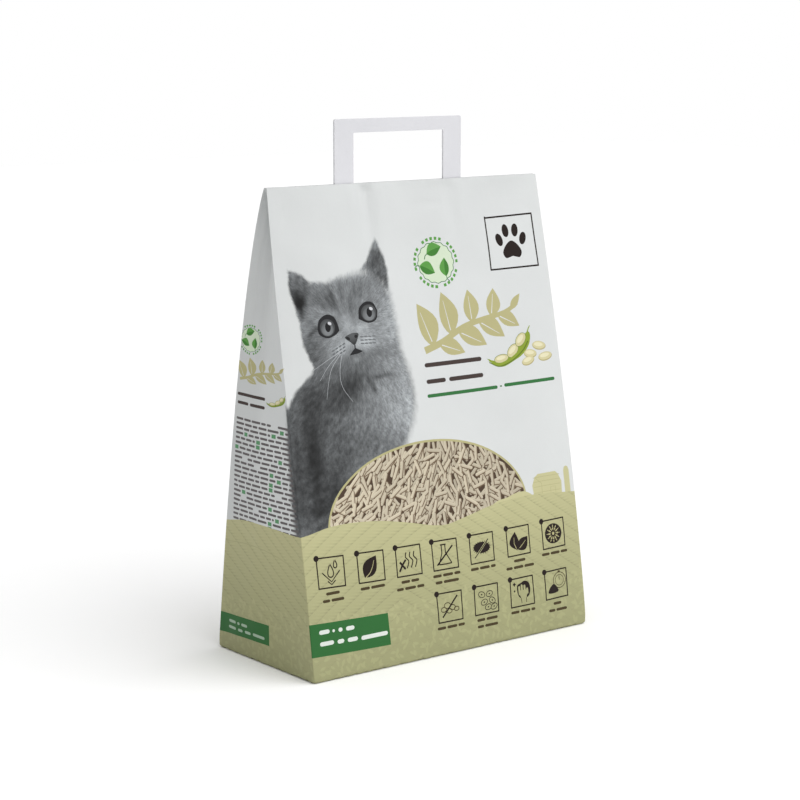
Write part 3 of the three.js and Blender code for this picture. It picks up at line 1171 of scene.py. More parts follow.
def print_seal(stamp):
    """A round green seal: a ring of dashes, a scalloped disc and three leaves turning round."""
    for dash in range(SEAL_DASHES):
        if dash % SEAL_DASHES_A_GROUP == SEAL_DASHES_A_GROUP - 1:
            continue
        angle = np.radians(dash * (360 // SEAL_DASHES) + np.array((-3.6, 0, 3.6)))
        stamp.line(np.stack([26.5 * np.cos(angle), 23.6 * np.sin(angle)], 1), 3.0, LEAF_GREEN)
    around = np.linspace(0, 2 * np.pi, 73)[:-1]
    scallop = 1 + 0.03 * np.cos(SEAL_SCALLOPS * around)
    outline = np.stack([22.8 * scallop * np.cos(around), 20.2 * scallop * np.sin(around)], 1)
    stamp.fill(outline, ROW_GREEN)
    stamp.fill(outline * 0.965, PALE_GREEN)
    for x, z, turn in SEAL_LEAVES:
        root, tip = turned(((-10, -2.2), (10, 2.2)), turn) * (1, 0.9) + (x, z)
        stamp.fill(leaf(root, tip, 0.64, 0.08), LEAF_GREEN)
        stamp.fill(leaf(root, tip, 0.3, -0.1), LEAF_DARK)
        stamp.line(root + turned(((0, 0), (-2.5, -1.5), (-4, -4.5)), turn), 0.9, ROW_GREEN)


def print_paw_frame(front):
    """A framed paw print, in the place of the maker's mark."""
    mark = front.at(124.5, 395.5)
    w, h = 31.5, 26
    for start, end in (((-w, h - 0.8), (w, h + 0.8)), ((w, h), (w + 1.5, -h)),
                       ((w + 1.5, -h), (-w, -h - 0.6)), ((-w, -h), (-w, h))):
        print_edge(mark, start, end, 0.7, 1.7, BROWN)
    pad = looped(((0, 1), (8, -3.5), (12.5, -10.5), (9.5, -16), (4, -15.6), (0, -14.6), (-4, -15.6),
                  (-9.5, -16), (-12.5, -10.5), (-8, -3.5)))
    mark.fill(pad, BROWN)
    for x, z, turn in ((-16, 2.5, 24), (-6.4, 11.2, 8), (6.4, 11.2, -8), (16, 2.5, -24)):
        mark.fill(oval(x, z, 4.4, 6.6, turn), BROWN)


SPRIG_STEM = flowing(((-4, 297), (20, 304), (48, 316), (78, 322), (104, 326), (122, 334)))
# For each leaf: its root, its tip, its fatness and its bend.
SPRIG_LEAVES = (
    ((8, 300), (-8, 343), 0.52, -0.08), ((14, 302), (46, 291), 0.5, 0.05),
    ((32, 309), (24, 352), 0.54, -0.06), ((40, 312), (76, 296), 0.5, 0.06),
    ((60, 319), (58, 352), 0.62, -0.05), ((68, 320), (101, 302), 0.5, 0.07),
    ((86, 323), (92, 351), 0.66, -0.06), ((94, 324), (122, 311), 0.5, 0.06),
)
VEIN = np.array([[0.12], [0.45], [0.8]])


def print_sprig(stamp):
    """A broad leafy sprig in khaki, in the place of the product's name."""
    stamp.line(SPRIG_STEM, 7.0, KHAKI, 4.0)
    for root, tip, fatness, bend in SPRIG_LEAVES:
        stamp.fill(leaf(root, tip, fatness, bend), KHAKI)
        vein = np.array(root) + (np.array(tip) - root) * VEIN
        stamp.line(vein, 1.1, PAPER, 0.4)
    stamp.fill(leaf((112, 328), (127, 343), 0.4), KHAKI)


POD = joined(
    ((73, 282.5), (82, 279.5), (92, 279), (104, 283), (114, 290), (123, 298), (130, 304)),
    ((130, 304), (134, 303.5), (134.5, 298), (131, 290), (122, 282), (110, 277), (98, 273),
     (90, 272.6), (82, 275.5), (73, 282.5)),
)
POD_RIM = flowing(((76, 280.5), (88, 275.4), (100, 277), (112, 281.5), (124, 289), (131, 297)))
POD_STALK = flowing(((131, 303), (133, 307), (135.5, 310)))
# For each bean: its middle, its radii and its turn.
POD_BEANS = ((93, 280.5, 9.4, 3.8, 6), (109.5, 287, 8.6, 5.0, 34), (121.5, 297, 8.0, 5.0, 40))
LOOSE_BEANS = ((145.5, 289, 9.4, 4.5, -8), (132.5, 282, 8.6, 4.4, -6), (128.5, 275, 8.6, 4.3, 12),
               (152.5, 277.5, 9.6, 4.5, 6))


def print_pod(stamp):
    """An open green pod with three beans."""
    stamp.line(POD_STALK, 1.7, POD_GREEN, 0.9)
    stamp.fill(POD, POD_GREEN)
    for x, z, rx, rz, turn in POD_BEANS:
        stamp.fill(oval(x, z, rx + 0.5, rz + 0.5, turn), POD_DARK)
        stamp.fill(oval(x, z, rx, rz, turn), BEAN)
        stamp.fill(oval(x - 0.5, z + 0.8, rx * 0.66, rz * 0.5, turn), BEAN_LIGHT)
    stamp.line(POD_RIM, 2.2, POD_GREEN, 3.6)
    stamp.line(POD_RIM - (0, 2.2), 1.1, POD_DARK, 1.4)


def print_loose_beans(stamp):
    """Four beans beside the pod."""
    for x, z, rx, rz, turn in LOOSE_BEANS:
        stamp.fill(oval(x, z, rx, rz, turn), BEAN_SHADE)
        stamp.fill(oval(x, z + 0.5, rx * 0.94, rz * 0.86, turn), BEAN)
        stamp.fill(oval(x - 0.6, z + 1.2, rx * 0.66, rz * 0.46, turn), BEAN_LIGHT)


# Bars in the place of the front's words, and of the side's: ends, level, height, ink.
FRONT_BARS = (
    (-7, 66, 283, 4.2, TEXT_DARK), (-7, 17, 267, 4.2, TEXT_DARK), (21, 66, 267, 4.2, TEXT_DARK),
    (-8, 83, 253.2, 3.4, ROW_GREEN), (86, 89, 253.6, 1.4, ROW_GREEN), (92, 162, 254, 3.4, ROW_GREEN),
)
SIDE_BARS = (
    (-43, 4, 262, 3.0, TEXT_DARK), (-43, -24, 253.6, 3.0, TEXT_DARK), (-21, 4, 253.6, 3.0, TEXT_DARK),
)


def print_bars(stamp, bars):
    """Bars with round ends, from a table of their ends, level, height and ink."""
    for x0, x1, z, height, ink in bars:
        stamp.fill(pill(x0, x1, z, height), ink)


def print_front_marks(front):
    """The upper right of the front: seal, paw frame, sprig, pod, beans and bars."""
    print_seal(front.at(23, 381))
    print_paw_frame(front)
    print_sprig(front)
    print_pod(front)
    print_loose_beans(front)
    print_bars(front, FRONT_BARS)


SIDE_ROWS = 22
SIDE_ROW_PITCH = 4.75
SIDE_ROW_TOP = 238.0
SIDE_BAR = 2.3
TAG_WIDTH = 6.0
TAG_HALF_HEIGHT = 1.9


def print_side(side):
    """The narrow left panel: a small seal, sprig and pod, and a block of fine bars."""
    print_seal(side.at(-23, 316, (0.6, 0.58)))
    print_sprig(side.at(-37, 158, (0.56, 0.4)))
    print_pod(side.at(-33, 158, (0.52, 0.36)))
    print_bars(side, SIDE_BARS)
    rng = np.random.default_rng(5)
    for row in range(SIDE_ROWS):
        z = SIDE_ROW_TOP - row * SIDE_ROW_PITCH
        start = -45 - 6 * (row / (SIDE_ROWS - 1))
        end = half_depth(z, FRONT_TAPER) - 2.5
        tag = rng.choice((start, start + 16, start + 38, start + 62, start + 74))
        if rng.random() < 0.75:
            green = rectangle(tag, tag + TAG_WIDTH, z - TAG_HALF_HEIGHT, z + TAG_HALF_HEIGHT)
            side.fill(green, TAG_GREEN)
        if tag > start:
            print_words(side, start, tag - 2, z, SIDE_BAR, TEXT_SMALL, 40 + row, mean=10)
        if tag + 11 < end:
            print_words(side, tag + 8, end, z, SIDE_BAR, TEXT_SMALL, 80 + row, mean=10)


def print_sheet():
    """Everything that is printed, lowest first."""
    press = Press()
    sheet = [(SHEET_START, 0), (SHEET_END, 0), (SHEET_END, HEIGHT), (SHEET_START, HEIGHT)]
    # The bare paper, with painted shade near the left folds and on the back half of the left side.
    press.lay(sheet, paper_ink_with_painted_shade)
    front = Stamp(press, front_to_sheet)
    side = Stamp(press, side_to_sheet)
    print_kitten(front)
    print_side(side)
    print_pellets(front)
    print_hills(press, front)
    print_front_marks(front)
    print_icons(front)
    print_label(front, side)
    return press.shapes


# ---- Cutting and folding the sheet -----------------------------------------------------------

GRID = 5.6
FUR_GRID = 1.7
FUR_COLUMNS = (-176, -4)
FUR_ROWS = (130, 415)
# Extra mesh lines beside each fold and gusset crease, and above the foot and below the top.
FOLD_COLUMNS = (-7, -4, -2.2, -1, -0.5, 0, 0.5, 1, 2.2, 4, 7)
CREASE_COLUMNS = (-3, -1.2, 0, 1.2, 3)
FOOT_ROWS = (0.3, 1.2, 2.5, 4, 6.5, 10)
TOP_ROWS = (0.6, 2, 4)


def sheet_lines(start, end, special, pitch):
    """Coordinates from start to end: all the special ones, and even steps between them."""
    stops = sorted({start, end, *special})
    made = []
    for low, high in zip(stops, stops[1:]):
        count = max(1, round((high - low) / pitch))
        made.extend(np.linspace(low, high, count + 1)[:-1])
    return np.array([*made, end])


def bend_columns():
    """Upright lines along which the sheet bends: its folds, gusset creases and the lap."""
    near_folds = [fold + step for fold in FOLDS for step in FOLD_COLUMNS]
    creases = [hand * (SIDE_MIDDLE + step) for hand in (-1, 1) for step in CREASE_COLUMNS]
    lap = SHEET_END - LAP_WIDTH
    return [*near_folds, *creases, lap, lap + LAP_SLOPE]


def grid_points():
    """Mesh points over the whole sheet, closer at folds, foot and top, closest in the fur."""
    columns = sheet_lines(SHEET_START, SHEET_END, bend_columns(), GRID)
    rows = sheet_lines(0, HEIGHT, [*FOOT_ROWS, *[HEIGHT - step for step in TOP_ROWS]], GRID)
    coarse = np.array(np.meshgrid(columns, rows)).reshape(2, -1).T
    level = np.arange(*FUR_COLUMNS, FUR_GRID)
    height = np.arange(*FUR_ROWS, FUR_GRID * 0.87)
    fine = np.array(np.meshgrid(level, height))
    fine[0] += (np.arange(len(height)) % 2 * FUR_GRID / 2)[:, None]
    fine = fine.reshape(2, -1).T
    inside = inside_distance(fine[:, 0], fine[:, 1], KITTEN_PLACE) > 1
    clear = np.abs(fine[:, 0] + HALF_WIDTH) > 0.4
    return np.vstack([coarse, fine[inside & clear]])


def cut_sheet(shapes):
    """Cuts the flat sheet along every outline. Returns points, triangles and each one's shape."""
    points = [Vector(p) for shape in shapes for p in shape["outline"]]
    faces, first = [], 0
    for shape in shapes:
        count = len(shape["outline"])
        faces.append(list(range(first, first + count)))
        first += count
    points += [Vector(p) for p in grid_points()]
    edges = []
    for column in bend_columns():
        edges.append((len(points), len(points) + 1))
        points += [Vector((column, 0)), Vector((column, HEIGHT))]
    cut = delaunay_2d_cdt(points, edges, faces, 1, 1e-4, True)
    flat, triangles, owners = np.array([tuple(v) for v in cut[0]]), cut[2], cut[5]
    kept = [i for i, owner in enumerate(owners) if 0 in owner]
    top = np.array([max(owners[i]) for i in kept])
    return flat, np.array([triangles[i] for i in kept]), top


def corner_values(shapes, s, z, top):
    """Ink, furrow and fur values at every triangle's three corners."""
    ink, rows, fur = (np.zeros((*s.shape, parts)) for parts in (3, 3, 4))
    for number, shape in enumerate(shapes):
        hit = top == number
        if not hit.any():
            continue
        cs, cz = s[hit].ravel(), z[hit].ravel()
        for target, name in ((ink, "ink"), (rows, "rows"), (fur, "fur")):
            source = shape[name]
            if source is not None:
                value = source(cs, cz) if callable(source) else np.tile(source, (len(cs), 1))
                target[hit] = value.reshape(-1, 3, target.shape[-1])
    return ink, rows, fur


# Where each panel is on the baked picture: left, foot, width, height as shares of it.
ATLAS = {
    "front": (0.0, 0.0, 0.548, 0.728),
    "left": (0.550, 0.0, 0.258, 0.728),
    "right": (0.810, 0.0, 0.190, 0.728),
    "back": (0.0, 0.731, 0.764, 0.269),
    "top": (0.767, 0.731, 0.233, 0.010),
    "base": (0.767, 0.744, 0.233, 0.256),
}


def atlas(panel, across, up):
    """Picture coordinates of a place given as shares of a panel."""
    left, foot, width, height = ATLAS[panel]
    return np.stack([left + width * np.clip(across, 0, 1), foot + height * np.clip(up, 0, 1)], -1)


def sheet_uv(s, z):
    """Picture coordinates of every triangle corner of the sheet."""
    middle = s.mean(1, keepdims=True) + 0 * s
    up = z / HEIGHT
    front = atlas("front", s / BASE_WIDTH + 0.5, up)
    left = atlas("left", (s + BACK_FOLD) / BASE_DEPTH, up)
    right = atlas("right", (s - HALF_WIDTH) / BASE_DEPTH, up)
    round_back = np.where(s < 0, s + 2 * BACK_FOLD + BASE_WIDTH, s) - BACK_FOLD
    back = atlas("back", up, round_back / BASE_WIDTH)
    uv = np.where((np.abs(middle) <= HALF_WIDTH)[..., None], front, back)
    uv = np.where(((middle < -HALF_WIDTH) & (middle > -BACK_FOLD))[..., None], left, uv)
    return np.where(((middle > HALF_WIDTH) & (middle < BACK_FOLD))[..., None], right, uv)


class Shell:
    """Collects the faces of one mesh with their print, normals and picture coordinates."""

    def __init__(self):
        self.points = []
        self.faces = []
        self.ink, self.rows, self.fur, self.normals, self.uv = [], [], [], [], []

    def add_points(self, points):
        """Adds points in millimetres and returns their numbers."""
        first = len(self.points)
        self.points.extend(np.asarray(points, float))
        return np.arange(first, len(self.points))

    def add_faces(self, faces, ink, uv, normals=None, rows=None, fur=None):
        """Adds faces. The values are given for each corner, or as one for all of them."""
        for number, face in enumerate(faces):
            count = len(face)
            self.faces.append([int(i) for i in face])
            self.ink.extend(ink[number] if np.ndim(ink) > 1 else [ink] * count)
            self.uv.extend(uv[number])
            self.rows.extend(rows[number] if rows is not None else [(0, 0, 0)] * count)
            self.fur.extend(fur[number] if fur is not None else [(0, 0, 0, 0)] * count)
            self.normals.extend(normals[number] if normals is not None else self.flat_normal(face))

    def flat_normal(self, face):
        """The plain normal of a face, once for each of its corners."""
        corners = np.array([self.points[i] for i in face])
        normal = np.cross(corners, np.roll(corners, -1, axis=0)).sum(0)
        return [normal / (np.linalg.norm(normal) + 1e-12)] * len(face)

    def build(self, name, material):
        """Makes the Blender object."""
        mesh = bpy.data.meshes.new(name)
        mesh.from_pydata([tuple(p * MM) for p in self.points], [], self.faces)
        opaque = np.ones((len(self.ink), 1))
        painted = {
            "ink": np.hstack([self.ink, opaque]),
            "rows": np.hstack([self.rows, opaque]),
            "fur": self.fur,
        }
        for label, values in painted.items():
            layer = mesh.attributes.new(label, "FLOAT_COLOR", "CORNER")
            layer.data.foreach_set("color", np.array(values, np.float32).ravel())
        layer = mesh.uv_layers.new(name="OFBake")
        layer.data.foreach_set("uv", np.array(self.uv, np.float32).ravel())
        mesh.polygons.foreach_set("use_smooth", [True] * len(mesh.polygons))
        mesh.normals_split_custom_set([tuple(n) for n in self.normals])
        mesh.materials.append(material)
        made = bpy.data.objects.new(name, mesh)
        bpy.context.scene.collection.objects.link(made)
        return made


def fill_loops(outer, holes):
    """Triangles that fill an outline and leave its holes open, as numbers into all the points."""
    loops = [np.asarray(loop, float) for loop in (outer, *holes)]
    points = [Vector(p) for loop in loops for p in loop]
    faces, first = [], 0
    for loop in loops:
        faces.append(list(range(first, first + len(loop))))
        first += len(loop)
    cut = delaunay_2d_cdt(points, [], faces, 1, 1e-6, True)
    source = [origins[0] for origins in cut[3]]
    return [[source[i] for i in face] for face, owner in zip(cut[2], cut[5]) if owner == [0]]


def facing_up(triangles, points, up=True):
    """The same triangles, each turned to face up or down."""
    made = []
    for a, b, c in triangles:
        turn = np.cross(points[b][:2] - points[a][:2], points[c][:2] - points[a][:2])
        made.append([a, b, c] if (turn > 0) == up else [a, c, b])
    return made


# The slot along the top, and the pockets for the handle's legs below it.
SLOT_HALF = 1.5
SLOT_DEPTH = 3.0
SLOT_END = 27.0
SLOT_STEPS = 24
POCKET_GAP = 0.3
# The underside: the width of the lip that the sack stands on, and how far the rest is set up.
BASE_LIP = 1.2
BASE_RECESS = 0.9
# The depth in plan that the top's part of the baked picture stands for.
TOP_PLAN_DEPTH = 12


def zip_columns(shell, left, right, ink):
    """Joins two upright chains of points, the left one seen from outside first."""
    i, j, faces = 0, 0, []
    while i < len(left) - 1 or j < len(right) - 1:
        next_left = shell.points[left[i + 1]][2] if i < len(left) - 1 else math.inf
        next_right = shell.points[right[j + 1]][2] if j < len(right) - 1 else math.inf
        if next_left <= next_right:
            faces.append([left[i], right[j], left[i + 1]])
            i += 1
        else:
            faces.append([left[i], right[j], right[j + 1]])
            j += 1
    spot = atlas("back", np.array([0.5]), np.array([0.0]))[0]
    shell.add_faces(faces, ink, [[spot] * 3] * len(faces))


def wall_faces(upper, lower):
    """Quads between two rings of points with the same count."""
    upper_next, lower_next = np.roll(upper, -1), np.roll(lower, -1)
    return [list(corners) for corners in zip(upper, upper_next, lower_next, lower)]


def plan_uv(points, panel, faces):
    """Picture coordinates from above, for level faces and the walls beside them."""
    across = np.array([p[0] for p in points]) / BASE_WIDTH + 0.5
    up = np.array([p[1] for p in points]) / (BASE_DEPTH if panel == "base" else TOP_PLAN_DEPTH) + 0.5
    uv = atlas(panel, across, up)
    return [[uv[i] for i in face] for face in faces]


def close_top(shell, rim):
    """The sack's top: paper edges round a slot, in which the handle's legs go down."""
    x_end = half_width(HEIGHT) - SLOT_END
    slot = rectangle(-x_end, x_end, -SLOT_HALF, SLOT_HALF, SLOT_STEPS)
    legs = leg_spans()
    half = (handle_high.y - handle_low.y) / MM / 2 + POCKET_GAP
    pockets = [rectangle(x0 - POCKET_GAP, x1 + POCKET_GAP, -half, half) for x0, x1 in legs]
    floor = HEIGHT - SLOT_DEPTH
    bottom = handle_low.z / MM - POCKET_GAP

    rim_points = np.array([shell.points[i] for i in rim])
    slot_top = shell.add_points([(x, y, HEIGHT) for x, y in slot])
    slot_foot = shell.add_points([(x, y, floor) for x, y in slot])
    numbers = np.concatenate([rim, slot_top])
    edge = [[numbers[i] for i in face] for face in fill_loops(rim_points[:, :2], [slot])]
    faces = facing_up(edge, shell.points)
    faces += wall_faces(slot_top, slot_foot)
    numbers = slot_foot
    pocket_rings = []
    for pocket in pockets:
        mouth = shell.add_points([(x, y, floor) for x, y in pocket])
        foot = shell.add_points([(x, y, bottom) for x, y in pocket])
        numbers = np.concatenate([numbers, mouth])
        pocket_rings.append((mouth, foot))
    ground = [[numbers[i] for i in face] for face in fill_loops(slot, pockets)]
    faces += facing_up(ground, shell.points)
    for mouth, foot in pocket_rings:
        faces += wall_faces(mouth, foot)
        faces += facing_up([[foot[0], foot[1], foot[2]], [foot[0], foot[2], foot[3]]], shell.points)
    shell.add_faces(faces, PAPER * 0.94, plan_uv(shell.points, "top", faces))


def close_base(shell, rim):
    """The underside: a lip that the sack stands on, and a shallow recess inside it."""
    inner = np.array([shell.points[i] for i in rim])
    reach = inner[:, :2].max(0)
    inner[:, :2] *= (reach - BASE_LIP) / reach
    inner[:, 2] = BASE_RECESS
    ring = shell.add_points(inner)
    faces = wall_faces(ring, rim)
    plan = inner[:, :2]
    ceiling = [[ring[i] for i in face] for face in fill_loops(plan, [])]
    faces += facing_up(ceiling, shell.points, up=False)
    shell.add_faces(faces, HILL_FOOT, plan_uv(shell.points, "base", faces))


def build_sack(material):
    """The whole sack as one closed mesh."""
    shapes = print_sheet()
    flat, triangles, top = cut_sheet(shapes)
    used = np.unique(triangles)
    renumber = np.zeros(len(flat), int)
    renumber[used] = np.arange(len(used))
    flat, triangles = flat[used], renumber[triangles]
    s = np.clip(flat[:, 0], SHEET_START, SHEET_END)
    z = np.clip(flat[:, 1], 0, HEIGHT)
    shell = Shell()
    numbers = shell.add_points(sack_surface(s, z))
    normals = outward(sack_surface, s, z)
    corner_s, corner_z = s[triangles], z[triangles]
    ink, rows, fur = corner_values(shapes, corner_s, corner_z, top)
    shell.add_faces(triangles, ink, sheet_uv(corner_s, corner_z), normals[triangles], rows, fur)

    def chain(on_line, order):
        """The points on one edge of the sheet, in order along it."""
        found = numbers[on_line]
        return found[np.argsort(order[on_line])]

    last, first = chain(s > SHEET_END - CLOSE, z), chain(s < SHEET_START + CLOSE, z)
    zip_columns(shell, last, first, PAPER)
    close_base(shell, chain(z < CLOSE, s))
    close_top(shell, chain(z > HEIGHT - CLOSE, s))
    return shell.build("paper_sack", material)


# ---- Handle --------------------------------------------------------------------------------

LEG_WIDTH = 23.0
GRIP_HEIGHT = 13.4
HANDLE_CORNER = 2.5
CUT_CORNER = 0.4
ARCH_CORNER = 1.2
# The cut edge across the thickness: share of half the thickness, and how far it is set back.
# The groove in the middle is where the two layers meet.
EDGE_PROFILE = (
    (-1.0, 0.3), (-0.92, 0.08), (-0.7, 0), (-0.12, 0), (0, 0.22),
    (0.12, 0), (0.7, 0), (0.92, 0.08), (1.0, 0.3),
)


def leg_spans():
    """Left and right edge of each leg of the handle."""
    left, right = handle_low.x / MM, handle_high.x / MM
    return ((left, left + LEG_WIDTH), (right - LEG_WIDTH, right))


def rounded_corner(corner, before, after, radius, steps=5):
    """A quarter round between two straight edges that meet at a corner."""
    corner, before, after = (np.array(p, float) for p in (corner, before, after))
    start = corner + (before - corner) / np.linalg.norm(before - corner) * radius
    end = corner + (after - corner) / np.linalg.norm(after - corner) * radius
    t = np.linspace(0, 1, steps)[:, None]
    return (1 - t) ** 2 * start + 2 * t * (1 - t) * corner + t ** 2 * end


def handle_outline():
    """The handle seen from the front: two legs joined by the grip."""
    (left, left_in), (right_in, right) = leg_spans()
    foot, top = handle_low.z / MM, handle_high.z / MM
    arch = top - GRIP_HEIGHT
    corners = ((left, foot), (left_in, foot), (left_in, arch), (right_in, arch), (right_in, foot),
               (right, foot), (right, top), (left, top))
    radii = (CUT_CORNER, CUT_CORNER, ARCH_CORNER, ARCH_CORNER, CUT_CORNER, CUT_CORNER,
             HANDLE_CORNER, HANDLE_CORNER)
    before, after = (corners[-1], *corners[:-1]), (*corners[1:], corners[0])
    rounds = [rounded_corner(*places) for places in zip(corners, before, after, radii)]
    return np.vstack(rounds)


def set_in(loop, distance):
    """An anticlockwise loop moved inwards by a distance."""
    before = loop - np.roll(loop, 1, axis=0)
    after = np.roll(loop, -1, axis=0) - loop
    before /= np.linalg.norm(before, axis=1, keepdims=True)
    after /= np.linalg.norm(after, axis=1, keepdims=True)
    inward = np.stack([-(before + after)[:, 1], (before + after)[:, 0]], 1)
    return loop + inward / (1 + (before * after).sum(1, keepdims=True)) * distance


def handle_uv(shell, faces, outline, middle):
    """Picture coordinates seen from the front. The handle's back half has its own half of it."""
    low, high = outline.min(0), outline.max(0)
    uv = []
    for face in faces:
        corners = np.array([shell.points[i] for i in face])
        back = 0.5 if corners[:, 1].mean() > middle else 0.0
        share = (corners[:, (0, 2)] - low) / (high - low)
        uv.append(np.stack([0.02 + 0.96 * share[:, 0], 0.01 + back + 0.48 * share[:, 1]], 1))
    return uv


def build_handle(material):
    """A flat paper handle of two layers pressed together, with soft cut edges."""
    outline = handle_outline()
    half = (handle_high.y - handle_low.y) / MM / 2
    middle = (handle_high.y + handle_low.y) / MM / 2
    shell = Shell()
    rings = []
    for share, setback in EDGE_PROFILE:
        ring = set_in(outline, setback)
        rings.append(shell.add_points([(x, middle + share * half, z) for x, z in ring]))
    faces = []
    for near, far in zip(rings, rings[1:]):
        faces += wall_faces(far, near)
    flat = fill_loops(set_in(outline, EDGE_PROFILE[0][1]), [])
    for ring, forward in ((rings[0], True), (rings[-1], False)):
        for face in flat:
            a, b, c = (shell.points[ring[i]] for i in face)
            faces_front = (b[0] - a[0]) * (c[2] - a[2]) - (b[2] - a[2]) * (c[0] - a[0]) > 0
            face = [ring[i] for i in face]
            faces.append(face if faces_front == forward else face[::-1])
    shell.add_faces(faces, HANDLE_WHITE, handle_uv(shell, faces, outline, middle))
    return shell.build("paper_handle", material)


# ---- Underside folds -------------------------------------------------------------------------

FLAP_THICKNESS = 0.22
FLAP_MARGIN = 7
TUCK_LENGTH = 66
TUCK_HALF_TIP = 14
FLAP_SLANT = 60
UPPER_FLAP_EDGE = -12
LOWER_FLAP_EDGE = 14
TUCK_LEVEL, UPPER_FLAP_LEVEL, LOWER_FLAP_LEVEL = 0.62, 0.36, 0.1


def flap(shell, outline, low, ink):
    """A flat folded ply with its underside at a given height."""
    outline = np.asarray(outline, float)
    foot = shell.add_points([(x, y, low) for x, y in outline])
    head = shell.add_points([(x, y, low + FLAP_THICKNESS) for x, y in outline])
    faces = wall_faces(foot, head) + [list(foot[::-1]), list(head)]
    shell.add_faces(faces, ink, plan_uv(shell.points, "base", faces))


def build_base_folds(material):
    """The glued folds of a block bottom: two tucked ends under two long flaps."""
    shell = Shell()
    x, y = HALF_WIDTH - FLAP_MARGIN, HALF_DEPTH - FLAP_MARGIN
    inner = x - TUCK_LENGTH
    for hand in (-1, 1):
        tuck = [(hand * x, -y), (hand * x, y), (hand * inner, TUCK_HALF_TIP), (hand * inner, -TUCK_HALF_TIP)]
        flap(shell, tuck if hand > 0 else tuck[::-1], TUCK_LEVEL, PAPER * 0.95)
    tip = x - FLAP_SLANT
    upper = [(-x, y), (-tip, UPPER_FLAP_EDGE), (tip, UPPER_FLAP_EDGE), (x, y)]
    lower = [(-x, -y), (x, -y), (tip, LOWER_FLAP_EDGE), (-tip, LOWER_FLAP_EDGE)]
    flap(shell, upper, UPPER_FLAP_LEVEL, PAPER * 0.97)
    flap(shell, lower, LOWER_FLAP_LEVEL, HILL_FOOT)
    return shell.build("base_folds", material)


# ---- Materials -------------------------------------------------------------------------------


STROKE_PITCH = 3.1
STROKE_DEPTH = 0.12
ROW_DARKNESS = 0.27
ROW_LIFT = 0.03
HAIR_STRETCH = (1.0, 1.0, 0.32)
HAIR_DEPTH = 0.5


class Graph:
    """Adds and links the nodes of one material or world."""

    def __init__(self, tree):
        self.tree = tree
        tree.nodes.clear()

    def add(self, kind, settings=None, **inputs):
        """Adds a node. Inputs are named with underscores for spaces."""
        node = self.tree.nodes.new(kind)
        for name, value in (settings or {}).items():
            setattr(node, name, value)
        for name, value in inputs.items():
            self.feed(node.inputs[name.replace("_", " ")], value)
        return node

    def feed(self, socket, value):
        """Links a socket, or sets its plain value."""
        if isinstance(value, bpy.types.NodeSocket):
            self.tree.links.new(value, socket)
        else:
            socket.default_value = value

    def math(self, operation, first, second=0.0, third=0.0):
        """One number from up to three."""
        node = self.tree.nodes.new("ShaderNodeMath")
        node.operation = operation
        for socket, value in zip(node.inputs, (first, second, third)):
            self.feed(socket, value)
        return node.outputs[0]

    def noise(self, vector, scale, detail=2.0, roughness=0.5):
        """A noise value of about 0 to 1."""
        node = self.add("ShaderNodeTexNoise", Vector=vector, Scale=scale, Detail=detail,
                        Roughness=roughness)
        return node.outputs["Fac"]

    def spread(self, value, low, high):
        """Stretches 0.25 to 0.75 of a noise to new limits."""
        node = self.add("ShaderNodeMapRange", Value=value, From_Min=0.25, From_Max=0.75,
                        To_Min=low, To_Max=high)
        return node.outputs["Result"]

    def attribute(self, name):
        """A value painted on the mesh's corners."""
        return self.add("ShaderNodeAttribute", {"attribute_name": name})

    def finish(self, kind, surface):
        """Adds the output node."""
        self.feed(self.add(kind).inputs["Surface"], surface)


def furrow_tone(graph):
    """Light and shade of the ploughed hills: dark rows, and short strokes that fade from them."""
    parts = graph.add("ShaderNodeSeparateXYZ", Vector=graph.attribute("rows").outputs["Vector"])
    number, stroke, strength = parts.outputs
    within = graph.math("FRACT", number)
    past_row = graph.math("SUBTRACT", 1.0, within)
    line = graph.math("POWER", past_row, 9.0)
    fade = graph.math("POWER", past_row, 2.0)
    wave = graph.math("SINE", graph.math("MULTIPLY", stroke, 2 * math.pi / STROKE_PITCH))
    patches = graph.spread(graph.noise(graph.attribute("rows").outputs["Vector"], 1.7), 0.3, 1.3)
    strokes = graph.math("MULTIPLY", graph.math("MULTIPLY", wave, fade), patches)
    rows = graph.math("MULTIPLY_ADD", graph.math("MULTIPLY", line, patches), -ROW_DARKNESS, ROW_LIFT)
    marks = graph.math("MULTIPLY_ADD", strokes, STROKE_DEPTH, rows)
    return graph.math("MULTIPLY_ADD", marks, strength, 1.0)


def hair_tone(graph):
    """Light and shade of the kitten's hairs, long along the lie of the fur."""
    fur = graph.attribute("fur")
    lie = graph.add("ShaderNodeVectorMath", {"operation": "MULTIPLY"})
    graph.feed(lie.inputs[0], fur.outputs["Vector"])
    lie.inputs[1].default_value = HAIR_STRETCH
    hair = graph.spread(graph.noise(lie.outputs[0], 0.85, 3.0, 0.75), -HAIR_DEPTH, HAIR_DEPTH)
    return graph.math("MULTIPLY_ADD", hair, fur.outputs["Alpha"], 1.0)


